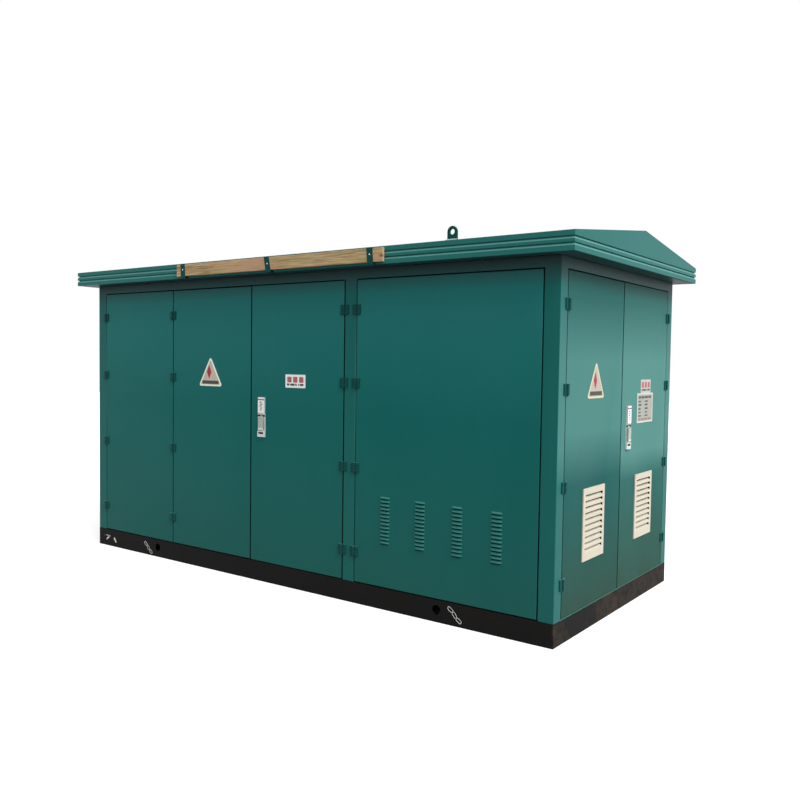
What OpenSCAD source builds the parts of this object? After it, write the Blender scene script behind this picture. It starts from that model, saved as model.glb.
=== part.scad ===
// Compact substation: a steel kiosk on a channel base, with hinged doors and a low gable roof.
// The origin is under the middle of the base. X runs along the front, Y goes from the
// front to the rear, and Z is up. The rear repeats the front and the left end the right
// end, both turned half round.

/* [Body] */
// Length of the body over the corner posts
body_l = 4260; // [3600:10:5000]
// Depth of the body over the corner posts
body_w = 1880; // [1500:10:2300]
// Height of the soffit above the ground
soffit_z = 2200; // [2000:10:2500]
// Depth of posts and rails behind the faces
frame_d = 45; // [42:1:80]
// Width of a corner post on the front and rear
corner_front_w = 100; // [80:1:160]
// Width of a corner post on the ends
corner_end_w = 92; // [80:1:160]
// Width of the middle posts
mid_post_w = 94; // [88:1:160]
// Distance from the body's middle to the middle of the front's middle post
mid_post_x = 639; // [400:1:900]
// Height of the top rail over the doors
rail_h = 67; // [50:1:120]

/* [Base] */
// Height of the base channels
base_h = 140; // [120:1:200]
// Width of a channel's flanges
flange_w = 58; // [50:1:80]
// Thickness of a channel's flanges
flange_t = 9; // [6:0.5:12]
// Thickness of a channel's web
web_t = 8; // [5:0.5:10]
// Thickness of the floor plate
floor_t = 4; // [3:0.5:8]
// Distance from the body's middle to the lifting holes in the long channels
lift_hole_x = 1345; // [1000:5:1650]
// Radius of the lifting holes
lift_hole_r = 30; // [20:1:40]
// Height of the lifting holes above the ground
lift_hole_z = 78; // [66:1:84]

/* [Doors] */
// Thickness of a door leaf
leaf_t = 40; // [30:1:41]
// Gap round a leaf at its hinge side and top
door_gap = 7; // [6:0.5:10]
// Gap between two leaves that meet
meeting_gap = 9; // [9:0.5:14]
// Gap between a leaf and the base
sill_gap = 6; // [5:0.5:10]
// Thickness of the stop strips behind the leaves
stop_t = 4; // [3:0.5:8]
// Overlap of a stop strip behind a leaf
stop_lap = 20; // [10:1:30]
// Landing of a stop strip on the back of its post
stop_land = 30; // [20:1:40]

/* [Hinges] */
// Height of a hinge
hinge_h = 65; // [50:1:90]
// Width of one hinge half, from the hinge line out
hinge_half_w = 35; // [25:1:40]
// Thickness of a hinge half
hinge_t = 8; // [5:0.5:8]
// Distance of the hinge axis in front of the face
hinge_proud = 9; // [9:0.5:14]
// Radius of a hinge knuckle
knuckle_r = 7; // [5:0.5:8]
// Radius of a hinge pin
hinge_pin_r = 3; // [2:0.5:4]
// Height of the lowest hinge's middle above the base
hinge_low = 208; // [100:1:400]
// Height of the highest hinge's middle above the base
hinge_high = 1795; // [1500:1:1850]
// Distance between the two highest hinges
hinge_top_step = 480; // [300:1:700]
// Hinges on one hinge line
hinge_count = 4; // [3:1:6]

/* [Door handles] */
// Width of a handle's plate
handle_w = 70; // [60:1:90]
// Height of a handle's plate
handle_h = 284; // [250:1:330]
// Height of the lower end of a handle above the base
handle_low = 907; // [700:1:1000]
// Distance from a leaf's free edge to the middle of its handle
handle_edge = 108; // [80:1:160]
// Thickness of the plate
handle_plate_t = 4; // [3:0.5:6]
// Height of the head and foot blocks over the door face
handle_block_t = 13; // [10:0.5:18]
// Width of the lever
lever_w = 48; // [36:1:52]
// Length of the lever below its pivot
lever_l = 86; // [70:1:100]
// Thickness of the lever
lever_t = 8; // [7:0.5:12]
// Height of the lever's pivot above the lower end of the plate
lever_pivot_up = 137; // [125:1:150]
// Radius of the turning disc
boss_r = 18; // [12:1:22]
// Radius of the spindle that the disc turns on
spindle_r = 8; // [5:0.5:9]
// Radius of the pin that the lever lifts on
lift_pin_r = 2; // [1:0.5:3]

/* [Louvre grilles] */
// Width of a grille
grille_w = 318; // [250:1:450]
// Height of a grille
grille_h = 436; // [300:1:600]
// Width of a grille's border at its sides
grille_side = 31; // [20:1:60]
// Height of a grille's border at its top and bottom
grille_border = 38; // [20:1:60]
// How far a grille stands out of the door face
grille_t = 7; // [5:0.5:16]
// Thickness of a grille's sheet
grille_sheet = 2; // [1:0.5:4]
// Landing of a grille on the door round the hole
grille_land = 10; // [6:1:18]
// Distance from the base to the lower edge of a grille
grille_low = 286; // [150:1:600]
// Distance between slats
slat_pitch = 35.8; // [28:0.1:60]
// Height of a slat
slat_h = 25; // [18:1:27]
// Height of the upright lip at the lower edge of a slat
slat_lip = 14; // [6:1:16]
// Depth of a slat behind its lip's face
slat_depth = 17; // [8:1:30]

/* [Roof] */
// Overhang of the roof at the ends
overhang_end = 129; // [60:1:200]
// Overhang of the roof at the front and rear
overhang_side = 118; // [60:1:200]
// Height of the fascia
fascia_h = 110; // [80:1:160]
// Thickness of the fascia and the gable panels
fascia_t = 14; // [12:1:20]
// Height of the upper groove above the soffit
groove_high = 73; // [60:1:100]
// Height of the lower groove above the soffit
groove_low = 38; // [20:1:50]
// Height of the dark slot in a fascia groove
groove_slot_h = 7; // [4:0.5:12]
// Depth of the slot
groove_slot_d = 9; // [6:0.5:10]
// Height of the sloping ledge under the slot
groove_ledge_h = 10; // [5:0.5:14]
// Depth of the ledge
groove_ledge_d = 5; // [2:0.5:6]
// Rise of the ridge over the top of the fascia
ridge_rise = 133; // [80:1:300]
// Thickness of the roof sheets
sheet_t = 4; // [2:0.5:8]
// Thickness of the soffit
soffit_t = 3; // [2:0.5:8]

/* [Lifting lugs] */
// Width of a lug
lug_w = 68; // [50:1:100]
// Height of a lug over the roof
lug_h = 82; // [70:1:120]
// Thickness of a lug
lug_t = 12; // [8:1:20]
// Radius of a lug's eye
lug_eye_r = 16; // [10:1:20]
// Distance from the body's middle to a lug
lug_x = 1482; // [1000:1:1900]
// Distance from the fascia's face to a lug
lug_back = 14; // [14:1:200]

/* [Timber plank] */
// Length of the plank on the fascia
plank_l = 1942; // [1500:1:2600]
// Distance from the body's middle to the plank's middle
plank_shift = 29; // [0:1:80]
// Height of the plank
plank_h = 87; // [60:1:100]
// Thickness of the plank
plank_t = 22; // [15:1:40]
// Distance from the soffit to the lower edge of the plank
plank_low = 13; // [6:1:18]
// Distance from the plank's left end to the left clip
clip_in_left = 71; // [50:1:200]
// Distance from the plank's right end to the right clip
clip_in_right = 98; // [50:1:200]
// Distance from the plank's middle to the middle clip, which is on its left
clip_mid_shift = 19; // [0:1:80]
// Lean of the end clips, sideways for each millimetre down
clip_lean = 0.08; // [0:0.01:0.2]
// Lean of the middle clip
clip_mid_lean = 0.2; // [0:0.01:0.3]
// Width of a clip
clip_w = 48; // [30:1:80]
// Thickness of a clip
clip_t = 3; // [2:0.5:5]

/* [Hidden] */
$fn = 48;

green = "#23625e";
shade_green = "#1f4f4c";
black_paint = "#1f1e1d";
timber = "#aa9070";
bare_metal = "#c4c8c8";
cream = "#f3ead6";

// Half sizes of the body and the heights of its parts
half_l = body_l / 2;
half_w = body_w / 2;
rail_z = soffit_z - rail_h;
leaf_low_z = base_h + sill_gap;
leaf_top_z = rail_z - door_gap;
leaf_h = leaf_top_z - leaf_low_z;
floor_top_z = base_h + floor_t;
// The floor ends behind the leaves, and the stops stand on it against the posts
leaf_back_clear = 6;
strip_gap = 1;
stop_reach = door_gap + stop_lap;
floor_in = max(frame_d + 1, leaf_t + leaf_back_clear);

// Leaf edges on the front, seen from the front
bay_left = corner_front_w - half_l;
bay_right = mid_post_x - mid_post_w / 2;
front_leaf_w = (bay_right - bay_left - 3 * door_gap - meeting_gap) / 3;
outer_left = bay_left + door_gap;
outer_right = outer_left + front_leaf_w;
inner_left = outer_right + door_gap;
inner_right = inner_left + front_leaf_w;
room_left = inner_right + meeting_gap;
room_right = room_left + front_leaf_w;
wide_bay_left = mid_post_x + mid_post_w / 2;
wide_bay_right = half_l - corner_front_w;
wide_left = wide_bay_left + door_gap;
wide_right = wide_bay_right - door_gap;

// Leaf edges on an end, seen from outside
end_bay_half = half_w - corner_end_w;
end_leaf_w = end_bay_half - door_gap - meeting_gap / 2;
near_left = door_gap - end_bay_half;
far_right = end_bay_half - door_gap;
far_left = far_right - end_leaf_w;

// Hinge lines lie in the middle of their gaps
fold_line = bay_left + door_gap / 2;
fold_middle_line = outer_right + door_gap / 2;
room_line = room_right + door_gap / 2;
wide_line = wide_left - door_gap / 2;
near_line = near_left - door_gap / 2;
far_line = far_right + door_gap / 2;
pin_clear = 0.05;
knuckle_split = 1;
knuckle_clear = 1;
hinge_chamfer = 4;
hinge_step = (hinge_high - hinge_top_step - hinge_low) / (hinge_count - 2);
hinge_zs = [for (i = [0 : hinge_count - 1])
    base_h + (i < hinge_count - 1 ? hinge_low + i * hinge_step : hinge_high)];

// Handles: the head and foot blocks stay clear of the lever's turning circle
room_handle_x = room_left + handle_edge;
end_handle_x = far_left + handle_edge;
handle_z = base_h + handle_low;
pivot_z = handle_z + lever_pivot_up;
lever_clear = 5.5;
lever_back = handle_plate_t + lever_clear;
lever_mid = lever_back + lever_t / 2;
lever_end_r = lever_t / 2;
head_low_z = pivot_z + norm([lever_end_r, lever_w / 2]) + lever_clear;
foot_top_z = pivot_z - norm([lever_l, lever_w / 2]) - lever_clear;
head_w = handle_w - 8;
boss_lift = 0.3;
boss_back = handle_plate_t + boss_lift;
boss_front = lever_back - 0.8;
tongue_w = 14;
tongue_clear = 0.5;
tongue_r = lever_end_r;
spindle_in = 20;
spindle_hole_r = spindle_r + 3;
spindle_hole_in = spindle_in + 4;
lever_cheek_w = (lever_w - tongue_w) / 2;

// Grilles stand in the middle of their leaves
near_grille_x = near_left + end_leaf_w / 2;
far_grille_x = far_left + end_leaf_w / 2;
grille_low_z = base_h + grille_low;
grille_top_z = grille_low_z + grille_h;
grille_in_w = grille_w - 2 * grille_side;
slat_count = floor((grille_h - 2 * grille_border) / slat_pitch);
slat_first_z = grille_low_z + (grille_h - slat_count * slat_pitch) / 2;
slat_top_z = slat_first_z + slat_count * slat_pitch;
slat_overlap = 1;

// Roof
roof_l = body_l + 2 * overhang_end;
roof_w = body_w + 2 * overhang_side;
eave_z = soffit_z + fascia_h;
ridge_z = eave_z + ridge_rise;
roof_slope = 2 * ridge_rise / roof_w;
gable_clear = 0.1;
gable_half = roof_w / 2 - fascia_t;
gable_low_z = eave_z - sheet_t - gable_clear + fascia_t * roof_slope;
big = 2 * roof_l;

// A face's frame: X to the right as seen from outside, Y inwards, Z up
module front_face() translate([0, -half_w, 0]) children();
module right_end_face() translate([half_l, 0, 0]) rotate([0, 0, 90]) children();
module half_round() rotate([0, 0, 180]) children();
module rear_face() half_round() front_face() children();
module left_end_face() half_round() right_end_face() children();
module along_x(length) rotate([90, 0, 90]) linear_extrude(length, center = true) children();
module both_ways() {
    children();
    half_round() children();
}

// The plan of a run along the front edge, mitred at its ends to the given depth
module mitred_plan(length, depth, mitre) polygon([
    [-length / 2, -depth / 2],
    [length / 2, -depth / 2],
    [length / 2 - mitre, mitre - depth / 2],
    [mitre - length / 2, mitre - depth / 2]
]);

// A channel along X with its web outside, at the front edge of the given depth
module channel(length, depth) along_x(length) translate([-depth / 2, 0]) difference() {
    square([flange_w, base_h]);
    translate([web_t, flange_t]) square([flange_w, base_h - 2 * flange_t]);
}
module mitred_channel(length, depth) intersection() {
    channel(length, depth);
    linear_extrude(base_h) mitred_plan(length, depth, flange_w);
}
module base_side_channels() color(black_paint) both_ways() difference() {
    mitred_channel(body_l, body_w);
    for (x = [-lift_hole_x, lift_hole_x])
        translate([x, -half_w - 1, lift_hole_z])
            rotate([-90, 0, 0]) cylinder(r = lift_hole_r, h = web_t + 2);
}
module base_end_channels() color(black_paint) both_ways()
    rotate([0, 0, 90]) mitred_channel(body_w, body_l);
module base_cross_channels() color(black_paint) both_ways()
    translate([mid_post_x, 0, 0]) rotate([0, 0, 90])
        channel(body_w - 2 * flange_w, flange_w);
module floor_plate() color("#55585a") translate([floor_in - half_l, floor_in - half_w, base_h])
    cube([body_l - 2 * floor_in, body_w - 2 * floor_in, floor_t]);

// Frame: angle-shaped corner posts, flat middle posts and rails above the doors
module corner_post() linear_extrude(soffit_z - base_h) polygon([
    [half_l, -half_w],
    [half_l, corner_end_w - half_w],
    [half_l - frame_d, corner_end_w - half_w],
    [half_l - frame_d, frame_d - half_w],
    [half_l - corner_front_w, frame_d - half_w],
    [half_l - corner_front_w, -half_w]
]);
module corner_posts() color(green) translate([0, 0, base_h]) both_ways() {
    corner_post();
    mirror([1, 0, 0]) corner_post();
}
module middle_posts() color(green) both_ways() front_face()
    translate([mid_post_x - mid_post_w / 2, 0, base_h])
        cube([mid_post_w, frame_d, rail_z - base_h]);
module top_rails() color(shade_green) both_ways() {
    front_face() translate([bay_left, 0, rail_z])
        cube([wide_bay_right - bay_left, frame_d, rail_h]);
    right_end_face() translate([-end_bay_half, 0, rail_z])
        cube([2 * end_bay_half, frame_d, rail_h]);
}

// Stop strips: one on the back of each post, and one on the rail between them
module stop_strip(left, right, low, top) translate([left, frame_d, low])
    cube([right - left, stop_t, top - low]);
module stop_bay(left, right) {
    inset = stop_reach + strip_gap;
    stop_strip(left + inset, right - inset, leaf_top_z - stop_lap, rail_z + stop_land);
}
module door_stops() color(shade_green) both_ways() {
    reach = stop_reach;
    front_face() {
        stop_strip(bay_left - stop_land, bay_left + reach, floor_top_z, soffit_z);
        stop_strip(bay_right - reach, wide_bay_left + reach, floor_top_z, soffit_z);
        stop_strip(wide_bay_right - reach, wide_bay_right + stop_land, floor_top_z, soffit_z);
        stop_bay(bay_left, bay_right);
        stop_bay(wide_bay_left, wide_bay_right);
    }
    right_end_face() {
        stop_strip(-end_bay_half - stop_land, reach - end_bay_half, floor_top_z, soffit_z);
        stop_strip(end_bay_half - reach, end_bay_half + stop_land, floor_top_z, soffit_z);
        stop_bay(-end_bay_half, end_bay_half);
    }
}

// Roof: a soffit sheet, a grooved fascia all round, two slopes and two gable panels
module roof_soffit() color(shade_green)
    translate([fascia_t - roof_l / 2, fascia_t - roof_w / 2, soffit_z])
        cube([roof_l - 2 * fascia_t, roof_w - 2 * fascia_t, soffit_t]);
function groove(z) = [
    [0, z - groove_ledge_h],
    [groove_ledge_d, z],
    [groove_slot_d, z],
    [groove_slot_d, z + groove_slot_h],
    [0, z + groove_slot_h]
];
// Fascia profile from its outer face inwards, each groove a ledge with a slot above it
fascia_profile = concat(
    [[0, 0]],
    groove(groove_low),
    groove(groove_high),
    [[0, fascia_h - sheet_t], [fascia_t, fascia_h - sheet_t], [fascia_t, 0]]
);
// A fascia run at the front edge of a roof of the given length and depth, mitred at its ends
module fascia_run(length, depth) intersection() {
    along_x(length) translate([-depth / 2, 0]) polygon(fascia_profile);
    linear_extrude(fascia_h) mitred_plan(length, depth, fascia_t);
}
module eaves_fascias() color(green) translate([0, 0, soffit_z]) both_ways()
    fascia_run(roof_l, roof_w);
module end_fascias() color(green) translate([0, 0, soffit_z]) both_ways()
    rotate([0, 0, 90]) fascia_run(roof_w, roof_l);
module roof_slope_sheet() along_x(roof_l) polygon([
    [-roof_w / 2, eave_z - sheet_t],
    [-roof_w / 2, eave_z],
    [0, ridge_z],
    [0, ridge_z - sheet_t]
]);
module roof_front_slope() color(green) roof_slope_sheet();
module roof_rear_slope() color(green) half_round() roof_slope_sheet();
module gable_panels() color(green) both_ways()
    translate([(roof_l - fascia_t) / 2, 0, 0]) along_x(fascia_t) polygon([
        [-gable_half, eave_z - sheet_t],
        [-gable_half, gable_low_z],
        [0, ridge_z - sheet_t - gable_clear],
        [gable_half, gable_low_z],
        [gable_half, eave_z - sheet_t]
    ]);

// Lug: an upright plate with a round head and an eye, its foot cut to the slope of the roof
module lug() {
    y = lug_back - roof_w / 2;
    top = eave_z + lug_back * roof_slope + lug_h;
    eye_z = top - lug_w / 2;
    difference() {
        translate([lug_x, y, 0]) rotate([-90, 0, 0]) {
            translate([0, -eye_z, 0]) cylinder(r = lug_w / 2, h = lug_t);
            translate([-lug_w / 2, -eye_z, 0]) cube([lug_w, eye_z - soffit_z, lug_t]);
        }
        along_x(big) polygon([
            [-roof_w / 2, 0],
            [-roof_w / 2, eave_z],
            [0, ridge_z],
            [0, 0]
        ]);
        translate([lug_x, y - 1, eye_z]) rotate([-90, 0, 0]) cylinder(r = lug_eye_r, h = lug_t + 2);
    }
}
module lifting_lugs() color(green) both_ways() lug();

// Timber plank on the fascia, and the clips that hold it
plank_z = soffit_z + plank_low;
clip_reach = plank_t + clip_t;
clip_top_z = eave_z - sheet_t;
plank_left = plank_shift - plank_l / 2;
clips = [ // place and lean of each clip
    [plank_left + clip_in_left, clip_lean],
    [plank_shift - clip_mid_shift, clip_mid_lean],
    [plank_left + plank_l - clip_in_right, clip_lean],
];
module timber_planks() color(timber) both_ways()
    translate([plank_left, -roof_w / 2 - plank_t, plank_z]) cube([plank_l, plank_t, plank_h]);
module clip(x, lean) translate([x, -roof_w / 2, 0]) difference() {
    low_z = soffit_z - clip_t;
    middle_z = plank_z + plank_h / 2;
    low_x = lean * (middle_z - low_z);
    high_x = lean * (middle_z - clip_top_z);
    rotate([90, 0, 0]) translate([0, 0, -fascia_t]) linear_extrude(clip_reach + fascia_t) polygon([
        [low_x - clip_w / 2, low_z],
        [low_x + clip_w / 2, low_z],
        [high_x + clip_w / 2, clip_top_z],
        [high_x - clip_w / 2, clip_top_z]
    ]);
    along_x(2 * clip_w) {
        translate([-plank_t, soffit_z]) square([plank_t, clip_top_z - clip_t - soffit_z]);
        translate([0, soffit_z]) square([fascia_t + 1, fascia_h]);
    }
}
module plank_clips() color(green) both_ways()
    for (c = clips) clip(c[0], c[1]);

// Door leaves
module leaf(left, right) translate([left, 0, leaf_low_z]) cube([right - left, leaf_t, leaf_h]);
module handled_leaf(left, right, handle_x) difference() {
    leaf(left, right);
    translate([handle_x, -1, pivot_z]) rotate([-90, 0, 0])
        cylinder(r = spindle_hole_r, h = spindle_hole_in + 1);
}
module grille_hole(x) translate([x, leaf_t + 1, 0])
    block(grille_w - 2 * grille_land, grille_low_z + grille_land,
        grille_top_z - grille_land, leaf_t + 2);
module fold_leaf_outer() color(green) front_face() leaf(outer_left, outer_right);
module fold_leaf_inner() color(green) front_face() leaf(inner_left, inner_right);
module room_door() color(green) front_face() handled_leaf(room_left, room_right, room_handle_x);
module wide_door() color(green) front_face() leaf(wide_left, wide_right);
module near_leaf() difference() {
    leaf(near_left, near_left + end_leaf_w);
    grille_hole(near_grille_x);
}
module end_door_near() color(green) right_end_face() near_leaf();
module end_door_far() color(green) right_end_face() difference() {
    handled_leaf(far_left, far_right, end_handle_x);
    grille_hole(far_grille_x);
}
module rear_fold_leaf_outer() color(green) rear_face() leaf(outer_left, outer_right);
module rear_fold_leaf_inner() color(green) rear_face() leaf(inner_left, inner_right);
module rear_room_leaf() color(green) rear_face() leaf(room_left, room_right);
module rear_wide_leaf() color(green) rear_face() leaf(wide_left, wide_right);
module left_end_leaf_near() color(green) left_end_face() near_leaf();
module left_end_leaf_far() color(green) left_end_face() difference() {
    leaf(far_left, far_right);
    grille_hole(far_grille_x);
}

// Hinges: side is 1 where the half lies to the right of its line, and -1 to the left
module hinge_plate(side) linear_extrude(hinge_h, center = true) polygon([
    [side * (knuckle_r + knuckle_clear), 0],
    [side * hinge_half_w, 0],
    [side * hinge_half_w, hinge_chamfer - hinge_t],
    [side * (hinge_half_w - hinge_chamfer), -hinge_t],
    [side * (knuckle_r + knuckle_clear), -hinge_t]
]);
// A knuckle and its web, from the given lower height up
module knuckle(side, low, height) translate([0, 0, low]) {
    translate([0, -hinge_proud, 0]) cylinder(r = knuckle_r, h = height);
    web_l = knuckle_r + knuckle_clear + 1;
    translate([side > 0 ? 0 : -web_l, -hinge_t, 0]) cube([web_l, hinge_t - 2, height]);
}
module frame_half(side) {
    half_h = (hinge_h - knuckle_split) / 2;
    hinge_plate(side);
    knuckle(side, -hinge_h / 2, half_h);
    translate([0, -hinge_proud, -hinge_h / 2]) cylinder(r = hinge_pin_r, h = hinge_h);
}
module leaf_half(side) {
    half_h = (hinge_h - knuckle_split) / 2;
    difference() {
        union() {
            hinge_plate(side);
            knuckle(side, knuckle_split / 2, half_h);
        }
        translate([0, -hinge_proud, -hinge_h])
            cylinder(r = hinge_pin_r + pin_clear, h = 2 * hinge_h);
    }
}
module fixed_hinge() {
    hinge_plate(1);
    hinge_plate(-1);
    for (side = [-1, 1]) knuckle(side, -hinge_h / 2, hinge_h);
}
module hinge_line(x) for (z = hinge_zs) translate([x, 0, z]) children();
module frame_hinge_halves() color(green) {
    front_face() {
        hinge_line(room_line) frame_half(1);
        hinge_line(wide_line) frame_half(-1);
    }
    right_end_face() {
        hinge_line(near_line) frame_half(-1);
        hinge_line(far_line) frame_half(1);
    }
}
module room_door_hinges() color(green) front_face() hinge_line(room_line) leaf_half(-1);
module wide_door_hinges() color(green) front_face() hinge_line(wide_line) leaf_half(1);
module near_door_hinges() color(green) right_end_face() hinge_line(near_line) leaf_half(1);
module far_door_hinges() color(green) right_end_face() hinge_line(far_line) leaf_half(-1);
module fold_door_hinges() color(green) front_face()
    for (x = [fold_line, fold_middle_line]) hinge_line(x) fixed_hinge();
module rear_hinges() color(green) rear_face()
    for (x = [fold_line, fold_middle_line, room_line, wide_line]) hinge_line(x) fixed_hinge();
module left_end_hinges() color(green) left_end_face()
    for (x = [near_line, far_line]) hinge_line(x) fixed_hinge();

// Door handles: a plate with head and foot blocks, a disc that turns, and a lever that lifts
module block(width, low, top, thick) translate([-width / 2, -thick, low])
    cube([width, thick, top - low]);
module across(radius, length) rotate([0, 90, 0]) cylinder(r = radius, h = length, center = true);
module handle_plate(x) translate([x, 0, 0]) difference() {
    union() {
        block(handle_w, handle_z, head_low_z, handle_plate_t);
        block(head_w, head_low_z, handle_z + handle_h, handle_block_t);
        block(handle_w, handle_z, foot_top_z, handle_block_t);
    }
    translate([0, -handle_plate_t - 1, pivot_z]) rotate([-90, 0, 0])
        cylinder(r = spindle_r + pin_clear, h = handle_plate_t + 2);
}
module handle_boss(x) translate([x, 0, pivot_z]) {
    translate([0, -boss_front, 0]) rotate([-90, 0, 0]) {
        cylinder(r = boss_r, h = boss_front - boss_back);
        cylinder(r = spindle_r, h = boss_front + spindle_in);
    }
    translate([0, -lever_mid, 0]) across(tongue_r, tongue_w);
    translate([-tongue_w / 2, -lever_mid, -tongue_r])
        cube([tongue_w, lever_mid - boss_front + 1, 2 * tongue_r]);
    translate([0, -lever_mid, 0]) across(lift_pin_r, lever_w - 4);
}
module handle_lever(x) translate([x, 0, pivot_z]) difference() {
    union() {
        translate([-lever_w / 2, -lever_back - lever_t, -lever_l])
            cube([lever_w, lever_t, lever_l]);
        translate([0, -lever_mid, 0]) across(lever_end_r, lever_w);
    }
    slot_w = tongue_w + 2 * tongue_clear;
    translate([-slot_w / 2, -lever_back - lever_t - 1, -tongue_r - 2])
        cube([slot_w, lever_t + 2, 2 * tongue_r + 4]);
    translate([0, -lever_mid, 0]) across(lift_pin_r + pin_clear, lever_w + 2);
}
module fixed_handle(x) translate([x, 0, 0]) {
    block(handle_w, handle_z, head_low_z, handle_plate_t);
    block(head_w, head_low_z, handle_z + handle_h, handle_block_t);
    block(handle_w, handle_z, foot_top_z, handle_block_t);
    block(lever_w, pivot_z - lever_l, pivot_z, lever_back + lever_t);
}
module room_handle_plate() color(bare_metal) front_face() handle_plate(room_handle_x);
module room_handle_boss() color(bare_metal) front_face() handle_boss(room_handle_x);
module room_handle_lever() color(bare_metal) front_face() handle_lever(room_handle_x);
module end_handle_plate() color(bare_metal) right_end_face() handle_plate(end_handle_x);
module end_handle_boss() color(bare_metal) right_end_face() handle_boss(end_handle_x);
module end_handle_lever() color(bare_metal) right_end_face() handle_lever(end_handle_x);
module fixed_handles() color(bare_metal) {
    rear_face() fixed_handle(room_handle_x);
    left_end_face() fixed_handle(end_handle_x);
}

// Louvre grilles: a sheet tray with an open field, and bent slats across the field
module grille(x) translate([x, 0, 0]) {
    difference() {
        block(grille_w, grille_low_z, grille_top_z, grille_t);
        translate([0, 1, 0]) block(grille_w - 2 * grille_sheet, grille_low_z + grille_sheet,
            grille_top_z - grille_sheet, grille_t - grille_sheet + 1);
        block(grille_in_w, slat_first_z, slat_top_z, grille_t + 1);
    }
    for (i = [0 : slat_count - 1])
        translate([0, -grille_t, slat_first_z + i * slat_pitch])
            along_x(grille_in_w + 2 * slat_overlap) polygon([
                [0, 0],
                [0, slat_lip],
                [slat_depth, slat_h],
                [slat_depth, slat_h - grille_sheet],
                [grille_sheet, slat_lip - grille_sheet],
                [grille_sheet, 0]
            ]);
}
module near_door_grille() color(cream) right_end_face() grille(near_grille_x);
module far_door_grille() color(cream) right_end_face() grille(far_grille_x);
module left_end_grilles() color(cream) left_end_face()
    for (x = [near_grille_x, far_grille_x]) grille(x);

base_side_channels();
base_end_channels();
base_cross_channels();
floor_plate();
corner_posts();
middle_posts();
top_rails();
door_stops();
roof_soffit();
eaves_fascias();
end_fascias();
roof_front_slope();
roof_rear_slope();
gable_panels();
lifting_lugs();
timber_planks();
plank_clips();
fold_leaf_outer();
fold_leaf_inner();
room_door();
wide_door();
end_door_near();
end_door_far();
rear_fold_leaf_outer();
rear_fold_leaf_inner();
rear_room_leaf();
rear_wide_leaf();
left_end_leaf_near();
left_end_leaf_far();
frame_hinge_halves();
room_door_hinges();
wide_door_hinges();
near_door_hinges();
far_door_hinges();
fold_door_hinges();
rear_hinges();
left_end_hinges();
room_handle_plate();
room_handle_boss();
room_handle_lever();
end_handle_plate();
end_handle_boss();
end_handle_lever();
near_door_grille();
far_door_grille();
left_end_grilles();
fixed_handles();
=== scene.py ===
import bmesh
import bpy
import math
import random
from mathutils import Matrix, Vector


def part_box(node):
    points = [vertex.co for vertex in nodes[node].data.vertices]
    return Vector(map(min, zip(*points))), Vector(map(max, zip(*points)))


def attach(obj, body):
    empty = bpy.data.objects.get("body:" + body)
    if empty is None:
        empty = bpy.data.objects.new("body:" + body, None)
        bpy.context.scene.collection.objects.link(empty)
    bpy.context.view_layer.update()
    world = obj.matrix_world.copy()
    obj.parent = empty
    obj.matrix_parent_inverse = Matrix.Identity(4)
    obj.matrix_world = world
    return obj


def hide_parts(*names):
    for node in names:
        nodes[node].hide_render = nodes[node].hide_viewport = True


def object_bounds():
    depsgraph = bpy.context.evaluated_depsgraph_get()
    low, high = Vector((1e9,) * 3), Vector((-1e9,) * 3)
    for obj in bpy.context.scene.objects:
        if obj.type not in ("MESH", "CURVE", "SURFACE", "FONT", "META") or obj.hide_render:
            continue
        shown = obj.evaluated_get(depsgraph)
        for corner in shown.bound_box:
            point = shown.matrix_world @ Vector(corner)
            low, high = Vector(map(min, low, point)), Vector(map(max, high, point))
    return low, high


# Compact substation: the looks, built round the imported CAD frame. Metres, Z up.
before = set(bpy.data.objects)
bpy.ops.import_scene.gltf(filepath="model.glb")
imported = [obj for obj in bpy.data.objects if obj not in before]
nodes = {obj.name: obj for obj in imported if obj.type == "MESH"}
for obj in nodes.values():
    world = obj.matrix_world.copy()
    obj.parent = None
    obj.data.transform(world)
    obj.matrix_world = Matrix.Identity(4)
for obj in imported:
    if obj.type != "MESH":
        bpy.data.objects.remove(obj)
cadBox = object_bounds()
print("stage: frame loaded,", len(nodes), "nodes")

# The faces of the body, taken from the frame so that nothing is fitted twice
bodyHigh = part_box("corner_posts")[1]
halfLength, halfWidth = bodyHigh.x, bodyHigh.y
halfTurn = Matrix.Rotation(math.pi, 4, "Z")
frontFace = Matrix.Translation((0, -halfWidth, 0))
rightFace = Matrix.Translation((halfLength, 0, 0)) @ Matrix.Rotation(math.pi / 2, 4, "Z")
faces = {  # local X to the right as seen from outside, Y inwards, Z up
    "front": frontFace,
    "right": rightFace,
    "rear": halfTurn @ frontFace,
    "left": halfTurn @ rightFace,
}


def linear(hexColour):
    # sRGB hex to the linear colour that Blender's sockets hold
    parts = [int(hexColour[i:i + 2], 16) / 255 for i in (1, 3, 5)]
    return [p / 12.92 if p <= 0.04045 else ((p + 0.055) / 1.055) ** 2.4 for p in parts] + [1.0]


def addNode(tree, kind, settings=None, inputs=None):
    # adds one node, sets its properties, and sets or links its inputs
    node = tree.nodes.new(kind)
    for key, value in (settings or {}).items():
        setattr(node, key, value)
    for key, value in (inputs or {}).items():
        if isinstance(value, bpy.types.NodeSocket):
            tree.links.new(value, node.inputs[key])
        else:
            node.inputs[key].default_value = value
    return node


def newMaterial(name):
    material = bpy.data.materials.new(name)
    material.use_nodes = True
    tree = material.node_tree
    tree.nodes.clear()
    shader = addNode(tree, "ShaderNodeBsdfPrincipled")
    addNode(tree, "ShaderNodeOutputMaterial", inputs={"Surface": shader.outputs[0]})
    place = addNode(tree, "ShaderNodeTexCoord").outputs["Object"]
    return material, tree, shader, place


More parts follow.
